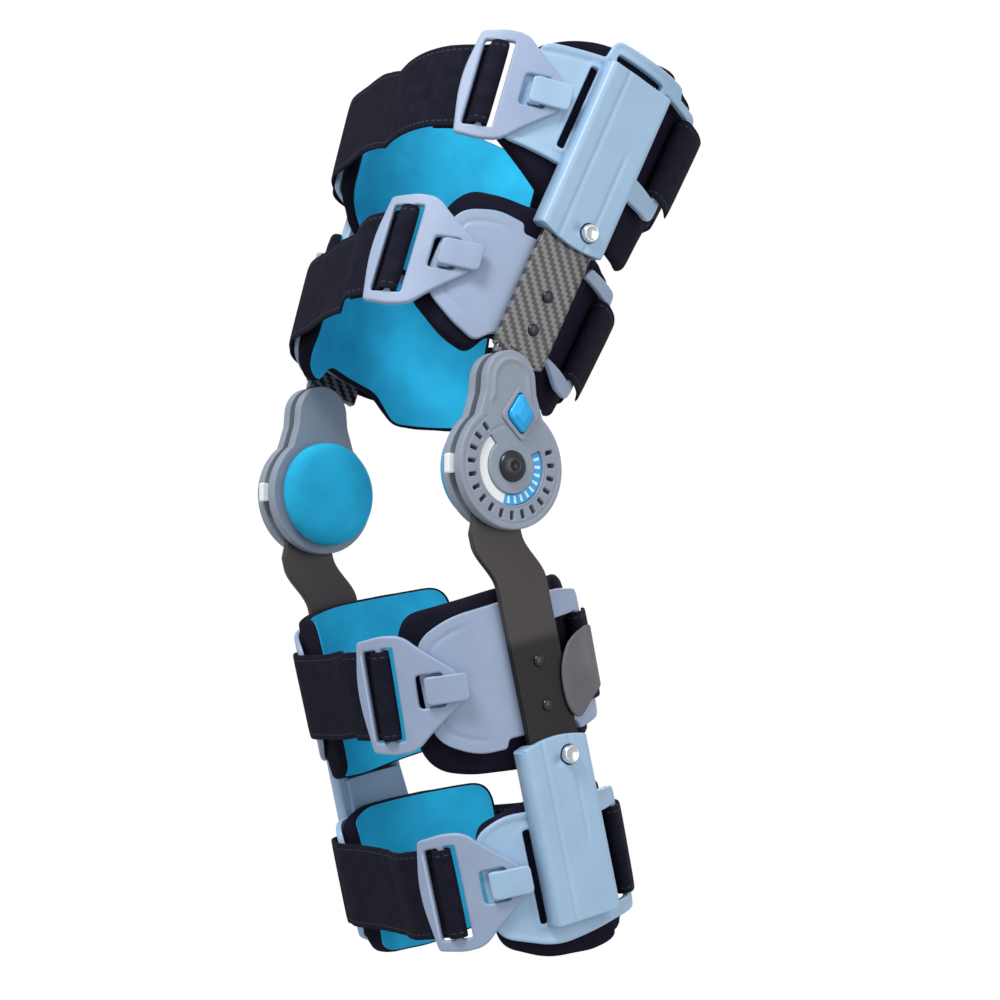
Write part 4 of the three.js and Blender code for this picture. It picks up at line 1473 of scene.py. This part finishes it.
@dataclass(frozen=True)
class Struts:
    """Flat bars of one side: the twill thigh strut and the dark calf strut with its S-bend."""

    tongue: Rows = ((-12.5, 31), (12.5, 31), (14.5, 50), (14.5, 62), (0, 68), (-4, 66.5))
    thigh_half: float = 17.0
    thigh_span: tuple[float, float] = (-3.4, 164.0)
    thigh_corner: float = 1.5
    calf_half: float = 16.25
    calf_end: float = -238.0
    calf_top: Rows = ((-18, -13), (8, -10))
    bend_span: tuple[float, float] = (-30.0, -66.0)
    bend_over: tuple[float, float] = (-62.0, -36.0)
    bend_shift: float = -10.5
    disc: float = 25.9
    disc_gap: float = 0.1
    pitch: float = 1.3
    edge: float = 0.6
    rivets: tuple[tuple[str, Leg, float, float], ...] = (
        ("thigh_rivet_1", THIGH, 1.5, 34), ("thigh_rivet_2", THIGH, 1.5, 14),
        ("calf_rivet_1", CALF, 0, -104), ("calf_rivet_2", CALF, 0, -128),
    )

    def bar(self, outline: np.ndarray, channel: Channel) -> Surface:
        """Flat bar of a strut, with the hole under its channel's button.

        Args:
            outline: Closed polygon in the strut's back and along.
            channel: Channel that slides on the strut.

        Returns:
            The closed surface.
        """
        region = Region(outline, (circle(channel.button, STRUT_HOLE),))
        faces = plain(-STRUT_HALF, -self.edge), plain(STRUT_HALF, self.edge)
        return sheet(region, *faces, channel.leg.on_strut, self.pitch, self.edge)

    def thigh_bar(self) -> np.ndarray:
        """Outline of the straight thigh bar."""
        start, end = self.thigh_span
        return rounded(box_rows(-self.thigh_half, start, self.thigh_half, end, self.thigh_corner))

    def calf_bar(self) -> np.ndarray:
        """Outline of the calf bar, whose middle line eases sideways by an S-bend below the hinge.

        Returns:
            Closed polygon in the strut's back and along.
        """
        z = np.linspace(*self.bend_span, 25)
        shift = self.bend_shift * smooth(*self.bend_over, z)
        front = np.stack([shift - self.calf_half, z], axis=1)
        back = np.stack([shift + self.calf_half, z], axis=1)[::-1]
        ends = np.array([[-self.calf_half, self.calf_end], [self.calf_half, self.calf_end]])
        return np.concatenate([self.calf_top[:1], front, ends, back, self.calf_top[1:]])

    def build(self, workshop: Workshop, side: Side) -> None:
        """Add both struts and their rivets.

        Args:
            workshop: Where the pieces are added.
            side: Side of the leg.
        """
        faces = plain(HINGE_X - STRUT_HALF), plain(HINGE_X + STRUT_HALF)
        tongue = sheet(Region(rounded(self.tongue)), *faces, across_x, pitch=1.5)
        hub = Region(circle((0, 0), self.disc), (circle((0, 0), SHAFT_HOLE),))
        half = STRUT_HALF - self.disc_gap
        disc = sheet(hub, plain(HINGE_X - half), plain(HINGE_X + half), across_x, self.pitch)
        thigh_channel, calf_channel = CHANNELS
        pieces = (
            ("bar", self.bar(self.thigh_bar(), thigh_channel), Slot.TWILL, "thigh"),
            ("tongue", tongue, Slot.TWILL, "thigh"),
            ("bar", self.bar(self.calf_bar(), calf_channel), Slot.DARK_BAR, "calf"),
            ("disc", disc, Slot.DARK_BAR, "calf"),
        )
        for part, surface, slot, body in pieces:
            strut = f"{side.prefix}_{body}_strut"
            workshop.add(f"{strut}_{part}", surface.mirrored(side), slot, body, (strut,))
        for name, leg, back, along in self.rivets:
            head = turned(RIVET_ROWS, (back, along), leg.on_strut, 32).mirrored(side)
            workshop.add(f"{side.prefix}_{name}_head", head, Slot.STEEL, leg.body, (f"{side.prefix}_{name}",))


@dataclass(frozen=True)
class Hinge:
    """Dial hinge of one side: two teardrop shells, dial, lock button, pivot, stop tab and inner pad."""

    dial_radius: float = 33.5
    dial_span: tuple[float, float] = (128.0, 412.0)
    neck_half: float = 16.0
    neck_top: float = 62.0
    neck_foot: tuple[float, float] = (16.6, 39.0)
    notches: int = 17
    notch_span: tuple[float, float] = (130.0, 380.0)
    notch_reach: tuple[float, float] = (23.6, 28.4)
    notch_half: float = 1.1
    notch_corner: float = 0.6
    window_span: tuple[float, float] = (130.0, 387.0)
    window_reach: tuple[float, float] = (14.8, 20.7)
    lock_rows: Rows = ((5, 40, 3), (14, 28, 4), (6, 17, 3), (-4, 27, 4))
    lock_centre: tuple[float, float] = (5.2, 28.0)
    tab_rows: Rows = ((-36.5, -5.5, 1), (-27.2, -4, 0.5), (-27.2, 4, 0.5), (-36.5, 5.5, 1))
    condyle_x: float = 68.0
    condyle_radius: float = 29.0
    condyle_soft: tuple[float, float] = (6.0, 4.0)
    pivot_radius: float = 6.0
    pivot_head: Rows = ((8.5, GAP), (8.2, 1.4), (7, 2.4), (4, 3.4), (2.6, 3.6), (2.2, 2.4), (0, 2.4))
    edge: float = 0.8
    inner_edge: float = 0.4
    rings: tuple[float, float] = (22.2, 30.2)
    ring_deep: float = 0.35
    ring_width: float = 0.5
    ring_below: float = 26.0
    ridge_in: float = 5.0
    ridge_high: float = 0.8
    ridge_width: float = 1.1
    ridge_from: tuple[float, float] = (31.0, 37.0)
    collar: float = 4.0
    collar_span: tuple[float, float] = (-0.8, 1.2)
    collar_edge: float = 0.5
    lock_out: float = 4.2
    lock_root: float = 5.4
    lock_edge: float = 1.4
    crown: float = 1.2
    crown_over: tuple[float, float] = (-4.5, -1.0)
    scale_below: float = 1.2
    tab_half: float = 2.15

    def teardrop(self) -> np.ndarray:
        """Outline of a shell: the dial's circle with a round-topped neck.

        Returns:
            Closed polygon in back and up.
        """
        dial = arc((0, 0), self.dial_radius, *self.dial_span, 90)
        top = arc((0, self.neck_top - self.neck_half), self.neck_half, 0, 180, 40)
        half, foot = self.neck_foot
        return np.concatenate([dial, [(half, foot)], top, [(-half, foot)]])

    def sector(self, inset: float = 0.0) -> np.ndarray:
        """Curved window round the pivot.

        Args:
            inset: How far every edge moves inwards.

        Returns:
            Closed polygon in back and up.
        """
        low, high = self.window_reach
        first, last = self.window_span
        trim = math.degrees(inset / low)
        outer = arc((0, 0), high - inset, first + trim, last - trim, 60)
        inner = arc((0, 0), low + inset, first + trim, last - trim, 60)
        return np.concatenate([outer, inner[::-1]])

    def notch(self, angle: float) -> np.ndarray:
        """Slot near the rim, pointing at the pivot.

        Args:
            angle: Its direction in degrees.

        Returns:
            Closed polygon in back and up.
        """
        a = math.radians(angle)
        turn = np.array([[math.cos(a), math.sin(a)], [-math.sin(a), math.cos(a)]])
        low, high = self.notch_reach
        rows = box_rows(low, -self.notch_half, high, self.notch_half, self.notch_corner)
        return rounded(rows, segments=3) @ turn

    def lock_outline(self, by: float) -> np.ndarray:
        """Diamond of the lock button, grown from its centre.

        Args:
            by: Growth of each corner in millimetres.

        Returns:
            Closed polygon in back and up.
        """
        rows = np.array(self.lock_rows, float)
        step = rows[:, :2] - self.lock_centre
        length = np.linalg.norm(step, axis=1, keepdims=True)
        rows[:, :2] += step / length * by
        return rounded(tuple(map(tuple, rows)))

    def cover_face(self, back: np.ndarray, up: np.ndarray, far: np.ndarray) -> np.ndarray:
        """Outer face of the cover: rounded edges, two fine rings round the dial and a ridge in the neck.

        Args:
            back: Backwards from the pivot.
            up: Upwards from the pivot.
            far: Signed distance to the edge.

        Returns:
            X of the face.
        """
        radius = np.hypot(back, up)
        small, large = (bump(radius, ring, self.ring_width) for ring in self.rings)
        rings = self.ring_deep * (small + large * (up < self.ring_below))
        from_rim = polygon_distance(self.teardrop(), back, up)
        ridge = self.ridge_high * bump(from_rim, -self.ridge_in, self.ridge_width)
        return SHELL_OUTER_X - edge_round(far, self.edge) - rings + ridge * smooth(*self.ridge_from, up)

    def cover(self) -> Surface:
        """Outer shell with its notches, window, lock opening and pivot hole.

        Returns:
            The closed surface.
        """
        angles = np.linspace(*self.notch_span, self.notches)
        holes = [self.notch(angle) for angle in angles]
        holes += [self.sector(), self.lock_outline(BUTTON_PLAY), circle((0, 0), SHAFT_HOLE)]
        region = Region(self.teardrop(), tuple(holes))
        under = plain(HINGE_X + GROOVE_HALF, -self.inner_edge)
        return sheet(region, under, self.cover_face, across_x, pitch=0.65, edge=self.edge)

    def back_shell(self) -> Surface:
        """Inner shell with its pivot hole.

        Returns:
            The closed surface.
        """
        region = Region(self.teardrop(), (circle((0, 0), SHAFT_HOLE),))
        faces = plain(SHELL_INNER_X, -self.edge), plain(HINGE_X - GROOVE_HALF, self.inner_edge)
        return sheet(region, *faces, across_x, pitch=0.9, edge=self.edge)

    def boss(self) -> Surface:
        """Raised collar round the lock button.

        Returns:
            The closed surface.
        """
        region = Region(self.lock_outline(self.collar), (self.lock_outline(BUTTON_PLAY),))
        root, top = (SHELL_OUTER_X + level for level in self.collar_span)
        faces = plain(root), plain(top, self.collar_edge)
        return sheet(region, *faces, across_x, pitch=0.4, edge=self.collar_edge)

    def lock_face(self, back: np.ndarray, up: np.ndarray, far: np.ndarray) -> np.ndarray:
        """Outer face of the lock button, crowned towards its middle.

        Args:
            back: Backwards from the pivot. Not used.
            up: Upwards from the pivot. Not used.
            far: Signed distance to the edge.

        Returns:
            X of the face.
        """
        rim = edge_round(far, self.lock_edge) + self.crown * smooth(*self.crown_over, far)
        return SHELL_OUTER_X + self.lock_out - rim

    def condyle(self) -> Surface:
        """Round cushion on the inner side, flat where it meets the knee.

        Returns:
            The closed surface.
        """
        back_x = SHELL_INNER_X - GAP
        front_x, radius = self.condyle_x, self.condyle_radius
        across, deep = self.condyle_soft
        rim = ((radius - across, front_x), (radius, front_x + deep), (radius, back_x))
        return turned(round_rows(((0, front_x), *rim, (0, back_x))), (0, 0), across_x, sides=72)

    def pivot(self) -> Surface:
        """Domed pivot with a small socket in its head.

        Returns:
            The closed surface.
        """
        start, shaft = SHELL_INNER_X + GAP, self.pivot_radius
        rows = ((shaft, GAP), *self.pivot_head)
        head = ((radius, SHELL_OUTER_X + height) for radius, height in rows)
        return turned(((0, start), (shaft, start), *head), (0, 0), across_x)

    def build(self, workshop: Workshop, side: Side) -> None:
        """Add the hinge's pieces.

        Args:
            workshop: Where the pieces are added.
            side: Side of the leg.
        """
        faces = plain(HINGE_X + GROOVE_HALF + GAP), plain(SHELL_OUTER_X - self.scale_below)
        scale = sheet(Region(self.sector(GAP)), *faces, across_x, pitch=0.7)
        faces = plain(HINGE_X + self.lock_root), self.lock_face
        lock = sheet(Region(self.lock_outline(0)), *faces, across_x, pitch=0.5, edge=self.lock_edge)
        low, high = HINGE_X - self.tab_half, HINGE_X + self.tab_half
        faces = plain(low, -self.inner_edge), plain(high, self.inner_edge)
        tab = sheet(Region(rounded(self.tab_rows)), *faces, across_x, pitch=0.7)
        lock_body = f"{side.prefix}_lock_button"
        pieces = (
            ("shell", self.cover(), Slot.HINGE, "thigh", "hinge_cover"),
            ("collar", self.boss(), Slot.HINGE, "thigh", "hinge_cover"),
            ("shell", self.back_shell(), Slot.HINGE, "thigh", "hinge_back"),
            ("plate", scale, Slot.PRINT, "thigh", "dial_scale"),
            ("cap", lock, Slot.BLUE_PLASTIC, lock_body, "lock_button"),
            ("pin", self.pivot(), Slot.STEEL, "thigh", "pivot"),
            ("cushion", self.condyle(), Slot.BLUE_CLOTH, "thigh", "condyle_pad"),
            ("clip", tab, Slot.PRINT, "thigh", "stop_tab"),
        )
        for part, surface, slot, body, node in pieces:
            name = f"{side.prefix}_{node}"
            piece = workshop.add(f"{name}_{part}", surface.mirrored(side), slot, body, (name,))


# Camera and light


@dataclass(frozen=True)
class Studio:
    """Camera at the photo's place and soft light on a white surround."""

    azimuth: float = 53.3
    elevation: float = -6.0
    aim_right: float = 51.95
    aim_up: float = -9.65
    distance: float = 2.0
    lens: float = 131.2
    ambient: float = 0.55
    lights: tuple[tuple[str, tuple[float, float, float], float, float], ...] = (
        ("key", (0.6, -1.5, 1.9), 46.0, 0.8),
        ("fill", (1.9, 0.4, 0.3), 10.0, 1.4),
        ("back", (-0.9, 1.4, 1.2), 16.0, 1.2),
    )

    def camera(self) -> None:
        """Aim the camera from its angles, with the aim point shifted in the picture's own plane."""
        a, e = math.radians(self.azimuth), math.radians(self.elevation)
        back = Vector((math.sin(a) * math.cos(e), -math.cos(a) * math.cos(e), math.sin(e)))
        right = Vector((math.cos(a), math.sin(a), 0))
        up = back.cross(right)
        data = bpy.data.cameras.new("camera")
        data.lens = self.lens
        camera = bpy.data.objects.new("camera", data)
        bpy.context.scene.collection.objects.link(camera)
        aim = (right * self.aim_right + up * self.aim_up) * MM
        turn = Matrix((right, up, back)).transposed().to_4x4()
        camera.matrix_world = Matrix.Translation(aim + back * self.distance) @ turn
        bpy.context.scene.camera = camera

    def light(self) -> None:
        """Add the area lights and the white surround."""
        for name, place, power, size in self.lights:
            data = bpy.data.lights.new(name, "AREA")
            data.energy = power
            data.size = size
            lamp = bpy.data.objects.new(name, data)
            bpy.context.scene.collection.objects.link(lamp)
            lamp.location = place
            lamp.rotation_euler = Vector(place).to_track_quat("Z", "Y").to_euler()
        world = bpy.data.worlds.new("surround")
        world.use_nodes = True
        surround = world.node_tree.nodes["Background"]
        surround.inputs["Color"].default_value = (1, 1, 1, 1)
        seen = world.node_tree.nodes.new("ShaderNodeLightPath")
        level = world.node_tree.nodes.new("ShaderNodeMapRange")
        level.inputs["To Min"].default_value = self.ambient
        world.node_tree.links.new(seen.outputs["Is Camera Ray"], level.inputs["Value"])
        world.node_tree.links.new(level.outputs["Result"], surround.inputs["Strength"])
        bpy.context.scene.world = world
        bpy.context.scene.view_settings.view_transform = "Standard"


def main() -> None:
    """Build every sub-assembly, light it and note the sizes."""
    logging.basicConfig(level=logging.INFO, format="%(name)s %(message)s")
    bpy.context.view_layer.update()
    workshop = Workshop({finish.slot: finish.material() for finish in FINISHES})
    for side in Side:
        for part in (*WALLS, *PADS, *CHANNELS, Struts(), Hinge()):
            part.build(workshop, side)
    for band in BANDS.values():
        band.build(workshop)
    StrapEnd(BANDS["calf_upper"]).build(workshop)
    studio = Studio()
    studio.camera()
    studio.light()


if __name__ == "__main__":
    main()
